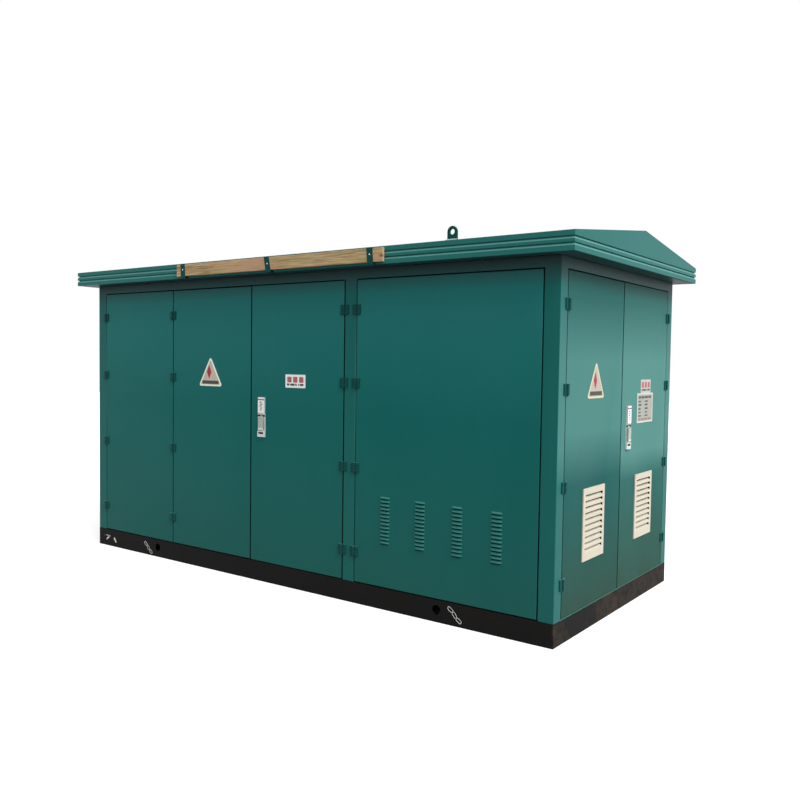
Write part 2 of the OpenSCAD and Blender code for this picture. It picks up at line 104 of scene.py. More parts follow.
# Camera, from a fit to the photograph's straight edges
cameraSet = {
    "place": (4.112, -5.151, 1.597),
    "yaw": 36.04,
    "pitch": -2.63,
    "roll": 0.81,
    "focalPixels": 828.9,
    "imagePixels": 800,
    "sensor": 36.0,
}


def buildCamera(cfg):
    yaw, pitch, roll = (math.radians(cfg[k]) for k in ("yaw", "pitch", "roll"))
    forward = Vector((-math.sin(yaw) * math.cos(pitch), math.cos(yaw) * math.cos(pitch), math.sin(pitch)))
    level = Vector((math.cos(yaw), math.sin(yaw), 0))
    upright = level.cross(forward)
    right = math.cos(roll) * level + math.sin(roll) * upright
    up = -math.sin(roll) * level + math.cos(roll) * upright
    data = bpy.data.cameras.new("photoCamera")
    data.sensor_fit = "HORIZONTAL"
    data.sensor_width = cfg["sensor"]
    data.lens = cfg["focalPixels"] * cfg["sensor"] / cfg["imagePixels"]
    data.clip_end = 200
    camera = bpy.data.objects.new("photoCamera", data)
    turn = Matrix((right, up, -forward)).transposed().to_4x4()
    camera.matrix_world = Matrix.Translation(cfg["place"]) @ turn
    bpy.context.scene.collection.objects.link(camera)
    bpy.context.scene.camera = camera
    bpy.context.scene.view_settings.view_transform = "Standard"


buildCamera(cameraSet)

# Light: an overcast sky, brightest overhead and to the right, and one soft high sun
lightSet = {
    "skyAxis": (0.75, -0.05, 0.66),
    "skyMiddle": 0.76,
    "skySwing": 0.74,
    "sunStrength": 2.6,
    "sunSpread": 28,
    "sunFrom": (0.9, -0.2, 1.0),
    "floorSize": 60,
    "floorBounce": "#686868",
    "floorShown": "#c8c8c8",
    "floorGlow": 0.52,
}


def buildLight(cfg):
    world = bpy.data.worlds.new("studioSky")
    bpy.context.scene.world = world
    world.use_nodes = True
    tree = world.node_tree
    tree.nodes.clear()
    path = addNode(tree, "ShaderNodeLightPath")
    seen = addNode(tree, "ShaderNodeMath", {"operation": "MAXIMUM"},
                   {0: path.outputs["Is Camera Ray"], 1: path.outputs["Is Glossy Ray"]})
    seen = addNode(tree, "ShaderNodeMath", {"operation": "MAXIMUM"},
                   {0: seen.outputs[0], 1: path.outputs["Is Transmission Ray"]})
    direction = addNode(tree, "ShaderNodeTexCoord").outputs["Generated"]
    axis = Vector(cfg["skyAxis"]).normalized()
    towards = addNode(tree, "ShaderNodeVectorMath", {"operation": "DOT_PRODUCT"}, {0: direction, 1: axis})
    strength = addNode(tree, "ShaderNodeMapRange", inputs={
        "Value": towards.outputs["Value"], "From Min": -1, "From Max": 1,
        "To Min": cfg["skyMiddle"] - cfg["skySwing"], "To Max": cfg["skyMiddle"] + cfg["skySwing"]})
    sky = addNode(tree, "ShaderNodeBackground", inputs={
        "Color": (1, 1, 1, 1), "Strength": strength.outputs[0]})
    plain = addNode(tree, "ShaderNodeBackground", inputs={"Color": (1, 1, 1, 1), "Strength": 1})
    both = addNode(tree, "ShaderNodeMixShader", inputs={
        0: seen.outputs[0], 1: sky.outputs[0], 2: plain.outputs[0]})
    addNode(tree, "ShaderNodeOutputWorld", inputs={"Surface": both.outputs[0]})

    sun = bpy.data.lights.new("softSun", "SUN")
    sun.energy = cfg["sunStrength"]
    sun.angle = math.radians(cfg["sunSpread"])
    lamp = bpy.data.objects.new("softSun", sun)
    lamp.rotation_mode = "QUATERNION"
    lamp.rotation_quaternion = Vector(cfg["sunFrom"]).to_track_quat("Z", "Y")
    bpy.context.scene.collection.objects.link(lamp)

    # The floor shows as pale as the backdrop and keeps the shadow, but bounces little light
    material = bpy.data.materials.new("paleStudioFloor")
    material.use_nodes = True
    tree = material.node_tree
    tree.nodes.clear()
    path = addNode(tree, "ShaderNodeLightPath")
    seen = addNode(tree, "ShaderNodeMath", {"operation": "MAXIMUM"},
                   {0: path.outputs["Is Camera Ray"], 1: path.outputs["Is Glossy Ray"]})
    seen = addNode(tree, "ShaderNodeMath", {"operation": "MAXIMUM"},
                   {0: seen.outputs[0], 1: path.outputs["Is Transmission Ray"]})
    bounce = addNode(tree, "ShaderNodeBsdfDiffuse", inputs={"Color": linear(cfg["floorBounce"])})
    lit = addNode(tree, "ShaderNodeBsdfDiffuse", inputs={"Color": linear(cfg["floorShown"])})
    # no glow under the base, so that it is dark behind the lifting holes
    ground = addNode(tree, "ShaderNodeNewGeometry").outputs["Position"]
    ground = addNode(tree, "ShaderNodeVectorMath", {"operation": "ABSOLUTE"}, {0: ground})
    ground = addNode(tree, "ShaderNodeVectorMath", {"operation": "SUBTRACT"}, {
        0: ground.outputs[0], 1: (halfLength - 0.03, halfWidth - 0.03, 0)})
    ground = addNode(tree, "ShaderNodeSeparateXYZ", inputs={0: ground.outputs[0]})
    outside = addNode(tree, "ShaderNodeMath", {"operation": "MAXIMUM"}, {
        0: ground.outputs["X"], 1: ground.outputs["Y"]})
    outside = addNode(tree, "ShaderNodeMath", {"operation": "GREATER_THAN"}, {0: outside.outputs[0], 1: 0})
    strength = addNode(tree, "ShaderNodeMath", {"operation": "MULTIPLY"}, {
        0: outside.outputs[0], 1: cfg["floorGlow"]})
    glow = addNode(tree, "ShaderNodeEmission", inputs={
        "Color": (1, 1, 1, 1), "Strength": strength.outputs[0]})
    shown = addNode(tree, "ShaderNodeAddShader", inputs={0: lit.outputs[0], 1: glow.outputs[0]})
    both = addNode(tree, "ShaderNodeMixShader", inputs={
        0: seen.outputs[0], 1: bounce.outputs[0], 2: shown.outputs[0]})
    addNode(tree, "ShaderNodeOutputMaterial", inputs={"Surface": both.outputs[0]})
    half = cfg["floorSize"] / 2
    mesh = bpy.data.meshes.new("floor")
    mesh.from_pydata([(-half, -half, 0), (half, -half, 0), (half, half, 0), (-half, half, 0)], [], [(0, 1, 2, 3)])
    mesh.materials.append(material)
    floor = bpy.data.objects.new("floor", mesh)
    bpy.context.scene.collection.objects.link(floor)


buildLight(lightSet)
print("stage: camera, light and floor made")

# Materials, each named for the real finish
enamelSet = {
    "tone": "#0b605c",
    "toneWorn": "#11625e",
    "dust": "#3f4636",
    "chalk": "#b4c2bb",     # what sun and rain leave on old enamel
    "ledge": "#8ac6c0",     # painted highlight: a pale tone on faces that look up, such as the ledges
    "paintedSheen": "#2a7f7e",     # painted sheen: a paler tone over the upper half of the leaves
    "paintedSheenFrom": 1.25,
    "paintedSheenTo": 1.95,
    "paintedSheenLoss": 0.0,       # how much of the painted sheen is gone again near the eaves
    "grimeAndEaveShade": "#333c40",     # painted shade under the eaves: a dark grey in place of their shadow
    "eaveShadeFrom": 2.03,
    "eaveShadeTo": 2.2,
    "patchSize": 0.9,       # soft changes of tone over a door
    "streakWidth": 0.05,    # rain streaks
    "streakDepth": 0.015,
    "dustTop": 1.15,        # height up to which road dust clings
    "waveSize": 0.45,       # hand-wide waves in the sheet, seen only in reflections
    "peelSize": 0.008,      # orange peel, drawn coarser than its real 2 mm so that it shows
    "roughness": 0.42,
}


def makeEnamel(cfg, name, strength=1.0, dustAmount=0.2, chalkAmount=0.0, gloss=0.08,
               paintedSheenAmount=0.0, eaveShadeAmount=0.0, ledgeChalk=0.0, endSheenAmount=0.0):
    # Sprayed blue-green enamel on sheet steel: satin, a little wavy, dull where dust clings; with a painted sheen by
    # height, a painted highlight on faces that look up and painted shade under the eaves
    material, tree, shader, place = newMaterial(name)
    height = addNode(tree, "ShaderNodeSeparateXYZ", inputs={0: place}).outputs["Z"]
    patch = addNode(tree, "ShaderNodeTexNoise", inputs={
        "Vector": place, "Scale": 1 / cfg["patchSize"], "Detail": 3, "Roughness": 0.55})
    streakPlace = addNode(tree, "ShaderNodeMapping", inputs={"Vector": place, "Scale": (1, 1, 0.04)})
    streak = addNode(tree, "ShaderNodeTexNoise", inputs={
        "Vector": streakPlace.outputs[0], "Scale": 1 / cfg["streakWidth"], "Detail": 2})
    worn = addNode(tree, "ShaderNodeMapRange", inputs={
        "Value": patch.outputs[0], "From Min": 0.35, "From Max": 0.65})
    base = addNode(tree, "ShaderNodeMix", {"data_type": "RGBA"}, {
        0: worn.outputs[0],
        6: [c * strength for c in linear(cfg["tone"])[:3]] + [1],
        7: [c * strength for c in linear(cfg["toneWorn"])[:3]] + [1]})
    streaky = addNode(tree, "ShaderNodeMapRange", inputs={
        "Value": streak.outputs[0], "From Min": 0.3, "From Max": 0.7,
        "To Min": 1 - cfg["streakDepth"], "To Max": 1 + cfg["streakDepth"]})
    base = addNode(tree, "ShaderNodeMix", {"data_type": "RGBA", "blend_type": "MULTIPLY"}, {
        0: 1.0, 6: base.outputs[2], 7: streaky.outputs[0]})
    low = addNode(tree, "ShaderNodeMapRange", inputs={
        "Value": height, "From Min": cfg["dustTop"], "From Max": 0.1})
    speck = addNode(tree, "ShaderNodeTexNoise", inputs={"Vector": place, "Scale": 9, "Detail": 6, "Roughness": 0.6})
    patchy = addNode(tree, "ShaderNodeMapRange", inputs={
        "Value": speck.outputs[0], "From Min": 0.25, "From Max": 0.75,
        "To Min": 0.75 * dustAmount, "To Max": 1.25 * dustAmount})
    dust = addNode(tree, "ShaderNodeMath", {"operation": "MULTIPLY"}, {0: low.outputs[0], 1: patchy.outputs[0]})
    # painted sheen: a paler band by height, which may fade again near the eaves
    band = addNode(tree, "ShaderNodeMapRange", inputs={
        "Value": height, "From Min": cfg["paintedSheenFrom"], "From Max": cfg["paintedSheenTo"]})
    left = addNode(tree, "ShaderNodeMapRange", inputs={
        "Value": height, "From Min": 1.62, "From Max": 1.98, "To Min": 1.0, "To Max": 1 - cfg["paintedSheenLoss"]})
    band = addNode(tree, "ShaderNodeMath", {"operation": "MULTIPLY"}, {0: band.outputs[0], 1: left.outputs[0]})
    # faces that look to the ends get the painted sheen too
    facing = addNode(tree, "ShaderNodeSeparateXYZ", inputs={
        0: addNode(tree, "ShaderNodeNewGeometry").outputs["Normal"]})
    endward = addNode(tree, "ShaderNodeMath", {"operation": "ABSOLUTE"}, {0: facing.outputs["X"]})
    endward = addNode(tree, "ShaderNodeMapRange", inputs={
        "Value": endward.outputs[0], "From Min": 0.5, "From Max": 0.9, "To Max": endSheenAmount})
    paintedSheen = addNode(tree, "ShaderNodeMath", {"operation": "MAXIMUM"}, {0: paintedSheenAmount, 1: endward.outputs[0]})
    paintedSheen = addNode(tree, "ShaderNodeMath", {"operation": "MULTIPLY"}, {0: paintedSheen.outputs[0], 1: band.outputs[0]})
    base = addNode(tree, "ShaderNodeMix", {"data_type": "RGBA"}, {
        0: paintedSheen.outputs[0], 6: base.outputs[2], 7: linear(cfg["paintedSheen"])})
    base = addNode(tree, "ShaderNodeMix", {"data_type": "RGBA"}, {
        0: chalkAmount, 6: base.outputs[2], 7: linear(cfg["chalk"])})
    # painted highlight: paler where the face looks up
    ledge = addNode(tree, "ShaderNodeMapRange", inputs={
        "Value": facing.outputs["Z"], "From Min": 0.2, "From Max": 0.44, "To Max": ledgeChalk})
    base = addNode(tree, "ShaderNodeMix", {"data_type": "RGBA"}, {
        0: ledge.outputs[0], 6: base.outputs[2], 7: linear(cfg["ledge"])})
    # painted shade: darker and greyer towards the eaves
    grimeAndEaveShade = addNode(tree, "ShaderNodeMapRange", inputs={
        "Value": height, "From Min": cfg["eaveShadeFrom"], "From Max": cfg["eaveShadeTo"], "To Max": eaveShadeAmount})
    base = addNode(tree, "ShaderNodeMix", {"data_type": "RGBA"}, {
        0: grimeAndEaveShade.outputs[0], 6: base.outputs[2], 7: linear(cfg["grimeAndEaveShade"])})
    base = addNode(tree, "ShaderNodeMix", {"data_type": "RGBA"}, {
        0: dust.outputs[0], 6: base.outputs[2], 7: linear(cfg["dust"])})
    rough = addNode(tree, "ShaderNodeMath", {"operation": "MULTIPLY_ADD"}, {
        0: dust.outputs[0], 1: 0.5, 2: cfg["roughness"]})
    wave = addNode(tree, "ShaderNodeTexNoise", inputs={
        "Vector": place, "Scale": 1 / cfg["waveSize"], "Detail": 1})
    waveBump = addNode(tree, "ShaderNodeBump", inputs={
        "Height": wave.outputs[0], "Distance": 0.006, "Strength": 0.5})
    peel = addNode(tree, "ShaderNodeTexNoise", inputs={"Vector": place, "Scale": 1 / cfg["peelSize"], "Detail": 1})
    peelBump = addNode(tree, "ShaderNodeBump", inputs={
        "Height": peel.outputs[0], "Distance": 0.0004, "Strength": 0.25, "Normal": waveBump.outputs[0]})
    tree.links.new(base.outputs[2], shader.inputs["Base Color"])
    tree.links.new(rough.outputs[0], shader.inputs["Roughness"])
    tree.links.new(peelBump.outputs[0], shader.inputs["Normal"])
    shader.inputs["Specular IOR Level"].default_value = gloss
    return material


blackSet = {"tone": "#070707", "dust": "#4c3c2c", "roughness": 0.7, "grainSize": 0.05}


def makeBlackPaint(cfg):
    # Brushed bitumen paint on rolled channel: flat black, brown with road dust
    material, tree, shader, place = newMaterial("brushedBlackPaint")
    grimeAndEaveShade = addNode(tree, "ShaderNodeTexNoise", inputs={
        "Vector": place, "Scale": 1 / cfg["grainSize"], "Detail": 7, "Roughness": 0.68})
    wide = addNode(tree, "ShaderNodeTexNoise", inputs={"Vector": place, "Scale": 1.7, "Detail": 2})
    both = addNode(tree, "ShaderNodeMath", {"operation": "MULTIPLY"}, {0: grimeAndEaveShade.outputs[0], 1: wide.outputs[0]})
    # the two ends are browner than the long sides
    across = addNode(tree, "ShaderNodeSeparateXYZ", inputs={0: place})
    across = addNode(tree, "ShaderNodeMath", {"operation": "ABSOLUTE"}, {0: across.outputs["X"]})
    most = addNode(tree, "ShaderNodeMapRange", inputs={
        "Value": across.outputs[0], "From Min": halfLength - 0.012, "From Max": halfLength - 0.002,
        "To Min": 0.05, "To Max": 0.65})
    amount = addNode(tree, "ShaderNodeMapRange", inputs={
        "Value": both.outputs[0], "From Min": 0.2, "From Max": 0.45, "To Min": 0.0, "To Max": most.outputs[0]})
    base = addNode(tree, "ShaderNodeMix", {"data_type": "RGBA"}, {
        0: amount.outputs[0], 6: linear(cfg["tone"]), 7: linear(cfg["dust"])})
    bump = addNode(tree, "ShaderNodeBump", inputs={
        "Height": grimeAndEaveShade.outputs[0], "Distance": 0.002, "Strength": 0.4})
    tree.links.new(base.outputs[2], shader.inputs["Base Color"])
    tree.links.new(bump.outputs[0], shader.inputs["Normal"])
    shader.inputs["Roughness"].default_value = cfg["roughness"]
    shader.inputs["Specular IOR Level"].default_value = 0.12
    return material


timberSet = {"pale": "#d6bb90", "dark": "#7d6744", "greenish": "#ae9c6c", "pinkish": "#c0957a", "grainWidth": 0.007,
             "knot": "#5c4128", "knotPitch": 0.11, "knotSize": 0.16}


def makeTimber(cfg):
    # Sawn softwood board: straight grain along X, pale edges, stained by weather
    material, tree, shader, place = newMaterial("sawnSoftwood")
    along = addNode(tree, "ShaderNodeMapping", inputs={"Vector": place, "Scale": (0.035, 1, 1)})
    grain = addNode(tree, "ShaderNodeTexNoise", inputs={
        "Vector": along.outputs[0], "Scale": 1 / cfg["grainWidth"], "Detail": 4, "Roughness": 0.6, "Distortion": 0.4})
    band = addNode(tree, "ShaderNodeMapRange", inputs={
        "Value": grain.outputs[0], "From Min": 0.35, "From Max": 0.68})
    base = addNode(tree, "ShaderNodeMix", {"data_type": "RGBA"}, {
        0: band.outputs[0], 6: linear(cfg["dark"]), 7: linear(cfg["pale"])})
    for tint, seed in (("greenish", 1.3), ("pinkish", 7.7)):
        moved = addNode(tree, "ShaderNodeMapping", inputs={
            "Vector": place, "Location": (seed, 0, 0), "Scale": (1, 1, 3)})
        stain = addNode(tree, "ShaderNodeTexNoise", inputs={"Vector": moved.outputs[0], "Scale": 3.2, "Detail": 3})
        amount = addNode(tree, "ShaderNodeMapRange", inputs={
            "Value": stain.outputs[0], "From Min": 0.48, "From Max": 0.68, "To Max": 0.7})
        base = addNode(tree, "ShaderNodeMix", {"data_type": "RGBA"}, {
            0: amount.outputs[0], 6: base.outputs[2], 7: linear(cfg[tint])})
    # a few dark knots, drawn out along the board
    knotPlace = addNode(tree, "ShaderNodeMapping", inputs={"Vector": place, "Scale": (0.55, 1, 1.3)})
    knot = addNode(tree, "ShaderNodeTexVoronoi", inputs={"Vector": knotPlace.outputs[0], "Scale": 1 / cfg["knotPitch"]})
    amount = addNode(tree, "ShaderNodeMapRange", inputs={
        "Value": knot.outputs["Distance"], "From Min": cfg["knotSize"], "From Max": cfg["knotSize"] / 3, "To Max": 0.75})
    base = addNode(tree, "ShaderNodeMix", {"data_type": "RGBA"}, {
        0: amount.outputs[0], 6: base.outputs[2], 7: linear(cfg["knot"])})
    bump = addNode(tree, "ShaderNodeBump", inputs={"Height": grain.outputs[0], "Distance": 0.0015, "Strength": 0.6})
    tree.links.new(base.outputs[2], shader.inputs["Base Color"])
    tree.links.new(bump.outputs[0], shader.inputs["Normal"])
    shader.inputs["Roughness"].default_value = 0.8
    shader.inputs["Specular IOR Level"].default_value = 0.2
    return material


def makePlain(name, tone, roughness, metallic=0.0, specular=0.4, variation=0.08, size=0.05, bumpDepth=0.0003):
    # A quiet finish with slight mottling and a fine surface, for small parts
    material, tree, shader, place = newMaterial(name)
    noise = addNode(tree, "ShaderNodeTexNoise", inputs={"Vector": place, "Scale": 1 / size, "Detail": 4})
    shade = addNode(tree, "ShaderNodeMapRange", inputs={
        "Value": noise.outputs[0], "From Min": 0.3, "From Max": 0.7,
        "To Min": 1 - variation, "To Max": 1 + variation})
    base = addNode(tree, "ShaderNodeMix", {"data_type": "RGBA", "blend_type": "MULTIPLY"}, {
        0: 1.0, 6: linear(tone), 7: shade.outputs[0]})
    bump = addNode(tree, "ShaderNodeBump", inputs={
        "Height": noise.outputs[0], "Distance": bumpDepth, "Strength": 0.5})
    tree.links.new(base.outputs[2], shader.inputs["Base Color"])
    tree.links.new(bump.outputs[0], shader.inputs["Normal"])
    shader.inputs["Roughness"].default_value = roughness
    shader.inputs["Metallic"].default_value = metallic
    shader.inputs["Specular IOR Level"].default_value = specular
    return material


endSheenSet = dict(enamelSet, paintedSheen="#578f89", paintedSheenFrom=0.9, paintedSheenTo=1.12, paintedSheenLoss=0.8)  # painted sheen on the ends, in a band
enamel = makeEnamel(endSheenSet, "sprayedGreenEnamel", dustAmount=0.1, chalkAmount=0.01, eaveShadeAmount=0.9, endSheenAmount=0.42)
doorEnamel = makeEnamel(enamelSet, "sprayedGreenEnamelDoors", paintedSheenAmount=0.5, eaveShadeAmount=0.8)
nearSet = dict(endSheenSet, tone="#0c5350", toneWorn="#125552", dustTop=0.85, paintedSheenFrom=0.9, paintedSheenTo=1.2)
nearEnamel = makeEnamel(nearSet, "sprayedGreenEnamelNearDoor", dustAmount=0.6, chalkAmount=0.015, gloss=0.02,
                        paintedSheenAmount=0.63, eaveShadeAmount=0.6)
farSet = dict(nearSet, tone="#0f5854", toneWorn="#155b56", paintedSheenFrom=0.84, paintedSheenTo=1.02)
farEnamel = makeEnamel(farSet, "sprayedGreenEnamelFarDoor", dustAmount=0.6, chalkAmount=0.03, gloss=0.02,
                       paintedSheenAmount=0.72, eaveShadeAmount=0.6)
roofEnamel = makeEnamel(enamelSet, "chalkyRoofEnamel", strength=1.1, chalkAmount=0.02)
bandEnamel = makeEnamel(enamelSet, "chalkyFasciaEnamel", strength=1.1, chalkAmount=0.035, ledgeChalk=0.26)
# painted shade: a darker copy of the enamel for the hinges, lugs and clips, with a painted highlight on their tops
hingeEnamel = makeEnamel(enamelSet, "paintedShadeHingeEnamel", strength=0.46, dustAmount=0.04, ledgeChalk=0.25)
innerEnamel = makeEnamel(enamelSet, "cleanInnerEnamel", strength=1.1, dustAmount=0.04)
# painted highlight: a lighter copy of the enamel for the louvre hoods
louvreEnamel = makeEnamel(enamelSet, "paintedHighlightLouvreEnamel", strength=1.3, chalkAmount=0.05)
# a paler copy of the enamel for the sill strip
sillEnamel = makeEnamel(enamelSet, "palerSillEnamel", strength=1.4, chalkAmount=0.1)
# painted shade: a darker copy of the enamel for the soffit, door stops and hinge screws
shadeEnamel = makeEnamel(enamelSet, "paintedShadeSoffitEnamel", strength=0.8, gloss=0.02, eaveShadeAmount=0.6)
blackPaint = makeBlackPaint(blackSet)
timber = makeTimber(timberSet)
# Die-cast zinc with a satin plate: pale grey metal
castZinc = makePlain("satinCastZinc", "#ced2cf", 0.42, metallic=0.15, size=0.02)
zincGrey = makePlain("greyLeverZinc", "#a3aba4", 0.45, metallic=0.1, size=0.02)
brightSteel = makePlain("zincPlatedScrew", "#d6d6d0", 0.3, metallic=1.0, size=0.01)
creamPlastic = makePlain("mouldedCreamLouvre", "#c5beac", 0.45, specular=0.35, variation=0.03)
floorPaint = makePlain("greyFloorPaint", "#55585a", 0.7, variation=0.15, size=0.12)
# black: real rubber on the leaves' backs, the keyholes, and painted shade in the gaps round the leaves and in the
# handle slots
darkGap = makePlain("blackRubberAndGapShade", "#0b0d0c", 0.8, specular=0.1, variation=0.2)
louvreDark = makePlain("shadedSlotEnamel", "#08302e", 0.7, specular=0.05, variation=0.1)
signWhite = makePlain("whiteSignEnamel", "#f0f1ee", 0.4, variation=0.03)
signRim = makePlain("creamSignRim", "#eef2de", 0.4, variation=0.03)
signField = makePlain("rosyGreySignField", "#c6b9ac", 0.5, variation=0.06)
# The signs on the sunny ends have aged more
agedWhite = makePlain("agedSignEnamel", "#bbb5b0", 0.5, variation=0.05)
agedRim = makePlain("agedSignRim", "#c9c7a8", 0.5, variation=0.05)
agedField = makePlain("agedSignField", "#b3a89a", 0.5, variation=0.06)
signRed = makePlain("redPrint", "#9c1c34", 0.5, variation=0.06)
signRose = makePlain("fadedRosePrint", "#a65c61", 0.5, variation=0.1)
signBrown = makePlain("brownPrint", "#85716a", 0.5, variation=0.1)
stickerWhite = makePlain("glossyStickerWhite", "#f0f1ef", 0.3, variation=0.02)
magentaPrint = makePlain("magentaPrint", "#9c3f6c", 0.5, variation=0.06)
greyPrint = makePlain("softGreyPrint", "#6b686b", 0.5, variation=0.1)
signDark = makePlain("darkPrint", "#34342a", 0.5, variation=0.1)
plateSilver = makePlain("engravedAluminium", "#9d9e94", 0.4, metallic=0.3, variation=0.05)
plateRim = makePlain("brightAluminiumRim", "#c9cbc4", 0.35, metallic=0.4, variation=0.04)
whitePaint = makePlain("brushedWhiteMark", "#dcdcd9", 0.7, variation=0.18, size=0.012)
redMark = makePlain("fadedRedMark", "#5c222b", 0.7, variation=0.18, size=0.012)
paleBeadFinish = makePlain("paleLugBead", "#9fb4ad", 0.5, variation=0.12, size=0.01)
print("stage: materials made")


def addPiece(name, mesh, body, materials, replaced=()):
    for material in materials:
        mesh.materials.append(material)
    piece = bpy.data.objects.new(name, mesh)
    bpy.context.scene.collection.objects.link(piece)
    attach(piece, body)
    if replaced:
        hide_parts(*replaced)
    return piece


def shadeByAngle(mesh, degrees=12):
    mesh.shade_smooth()
    mesh.set_sharp_from_angle(angle=math.radians(degrees))


def cleanCopy(nodeName):
    # the node's loose triangles, merged into flat faces
    bm = bmesh.new()
    bm.from_mesh(nodes[nodeName].data)
    bmesh.ops.remove_doubles(bm, verts=bm.verts, dist=0.00002)
    bmesh.ops.dissolve_limit(bm, angle_limit=math.radians(0.3), verts=bm.verts, edges=bm.edges)
    mesh = bpy.data.meshes.new(nodeName + "Clean")
    bm.to_mesh(mesh)
    bm.free()
    return mesh


def uniteNodes(nodeNames):
    # one welded form from several nodes that meet face to face
    objects = [bpy.data.objects.new(n + "Part", cleanCopy(n)) for n in nodeNames]
    for o in objects:
        bpy.context.scene.collection.objects.link(o)
    for other in objects[1:]:
        modifier = objects[0].modifiers.new("weld", "BOOLEAN")
        modifier.operation, modifier.solver, modifier.object = "UNION", "EXACT", other
    graph = bpy.context.evaluated_depsgraph_get()
    mesh = bpy.data.meshes.new_from_object(objects[0].evaluated_get(graph))
    for o in objects:
        bpy.data.objects.remove(o)
    bm = bmesh.new()
    bm.from_mesh(mesh)
    bmesh.ops.remove_doubles(bm, verts=bm.verts, dist=0.00002)
    bmesh.ops.dissolve_limit(bm, angle_limit=math.radians(0.3), verts=bm.verts, edges=bm.edges)
    bm.to_mesh(mesh)
    bm.free()
    return mesh


def rollEdges(mesh, radius, segments):
    # folded and rolled edges instead of knife edges; mitres and inner corners stay
    bm = bmesh.new()
    bm.from_mesh(mesh)
    edges = [e for e in bm.edges if e.is_manifold and 1.0 < e.calc_face_angle_signed(0) < 2.0]
    bmesh.ops.bevel(bm, geom=edges, offset=radius, segments=segments, profile=0.5,
                    affect="EDGES", clamp_overlap=True)
    bm.to_mesh(mesh)
    bm.free()
    shadeByAngle(mesh)
    return mesh


# Nodes that are shown with rolled edges: radius in metres, steps, body, slot, materials
rolledSet = {
    "fold_leaf_outer": (0.004, 3, "kiosk", "green_paint", doorEnamel),
    "fold_leaf_inner": (0.004, 3, "kiosk", "green_paint", doorEnamel),
    "room_door": (0.004, 3, "room_leaf", "green_paint", doorEnamel),
    "wide_door": (0.004, 3, "wide_leaf", "green_paint", doorEnamel),
    "end_door_near": (0.004, 3, "near_leaf", "green_paint", nearEnamel),
    "end_door_far": (0.004, 3, "far_leaf", "green_paint", farEnamel),
    "rear_fold_leaf_outer": (0.004, 3, "kiosk", "green_paint", doorEnamel),
    "rear_fold_leaf_inner": (0.004, 3, "kiosk", "green_paint", doorEnamel),
    "rear_room_leaf": (0.004, 3, "kiosk", "green_paint", doorEnamel),
    "rear_wide_leaf": (0.004, 3, "kiosk", "green_paint", doorEnamel),
    "left_end_leaf_near": (0.004, 3, "kiosk", "green_paint", nearEnamel),
    "left_end_leaf_far": (0.004, 3, "kiosk", "green_paint", farEnamel),
    "lifting_lugs": (0.002, 2, "kiosk", "green_paint", hingeEnamel),
    "timber_planks": (0.002, 2, "kiosk", "timber", timber),
    "plank_clips": (0.001, 2, "kiosk", "green_paint", hingeEnamel),
    "frame_hinge_halves": (0.001, 2, "kiosk", "green_paint", hingeEnamel),
    "fold_door_hinges": (0.001, 2, "kiosk", "green_paint", hingeEnamel),
    "rear_hinges": (0.001, 2, "kiosk", "green_paint", hingeEnamel),
    "left_end_hinges": (0.001, 2, "kiosk", "green_paint", hingeEnamel),
    "room_door_hinges": (0.001, 2, "room_leaf", "green_paint", hingeEnamel),
    "wide_door_hinges": (0.001, 2, "wide_leaf", "green_paint", hingeEnamel),
    "near_door_hinges": (0.001, 2, "near_leaf", "green_paint", hingeEnamel),
    "far_door_hinges": (0.001, 2, "far_leaf", "green_paint", hingeEnamel),
    "room_handle_plate": (0.0012, 2, "room_leaf", "handle_metal", castZinc),
    "end_handle_plate": (0.0012, 2, "far_leaf", "handle_metal", castZinc),
    "fixed_handles": (0.0012, 2, "kiosk", "handle_metal", castZinc),
    "room_handle_lever": (0.0008, 2, "room_lever", "handle_metal", zincGrey),
    "end_handle_lever": (0.0008, 2, "end_lever", "handle_metal", zincGrey),
}
edgeShadeSet = {
    "depth": 0.014,  # how far back the black painted shade on a leaf's edges goes
    "wide": ("fold_leaf_inner", "room_door", "rear_fold_leaf_inner", "rear_room_leaf"),
    "front": ("fold_leaf_outer", "fold_leaf_inner", "room_door", "wide_door"),
    "right": ("end_door_near", "end_door_far"),
    "rear": ("rear_fold_leaf_outer", "rear_fold_leaf_inner", "rear_room_leaf", "rear_wide_leaf"),
    "left": ("left_end_leaf_near", "left_end_leaf_far"),
}


def shadeLeafEdges(mesh, face, depth, turn):
    # black painted shade on the side faces of a leaf, which makes the gaps read black
    mesh.transform(faces[face].inverted())
    bm = bmesh.new()
    bm.from_mesh(mesh)
    bmesh.ops.bisect_plane(bm, geom=bm.verts[:] + bm.edges[:] + bm.faces[:], dist=0.000001,
                           plane_co=(0, depth, 0), plane_no=(0, 1, 0))
    for f in bm.faces:
        if f.calc_center_median().y < depth and abs(f.normal.y) < turn:
            f.material_index = 1
    bm.to_mesh(mesh)
    bm.free()
    mesh.transform(faces[face])


leafFaces = {leaf: face for face in faces for leaf in edgeShadeSet[face]}
for nodeName, (radius, steps, body, slotName, material) in rolledSet.items():
    mesh = rollEdges(cleanCopy(nodeName), radius, steps)
    if nodeName in leafFaces:
        shadeLeafEdges(mesh, leafFaces[nodeName], edgeShadeSet["depth"], 0.8 if nodeName in edgeShadeSet["wide"] else 0.55)
    if nodeName == "plank_clips":  # their faces lie a millimetre back, to leave room for the screws
        for v in mesh.vertices:
            if abs(v.co.y) > cadBox[1].y - 0.0015:
                v.co.y -= math.copysign(0.001, v.co.y)
    addPiece(nodeName + "_rolled", mesh, body, [material, darkGap] if nodeName in leafFaces else [material],
             [nodeName])

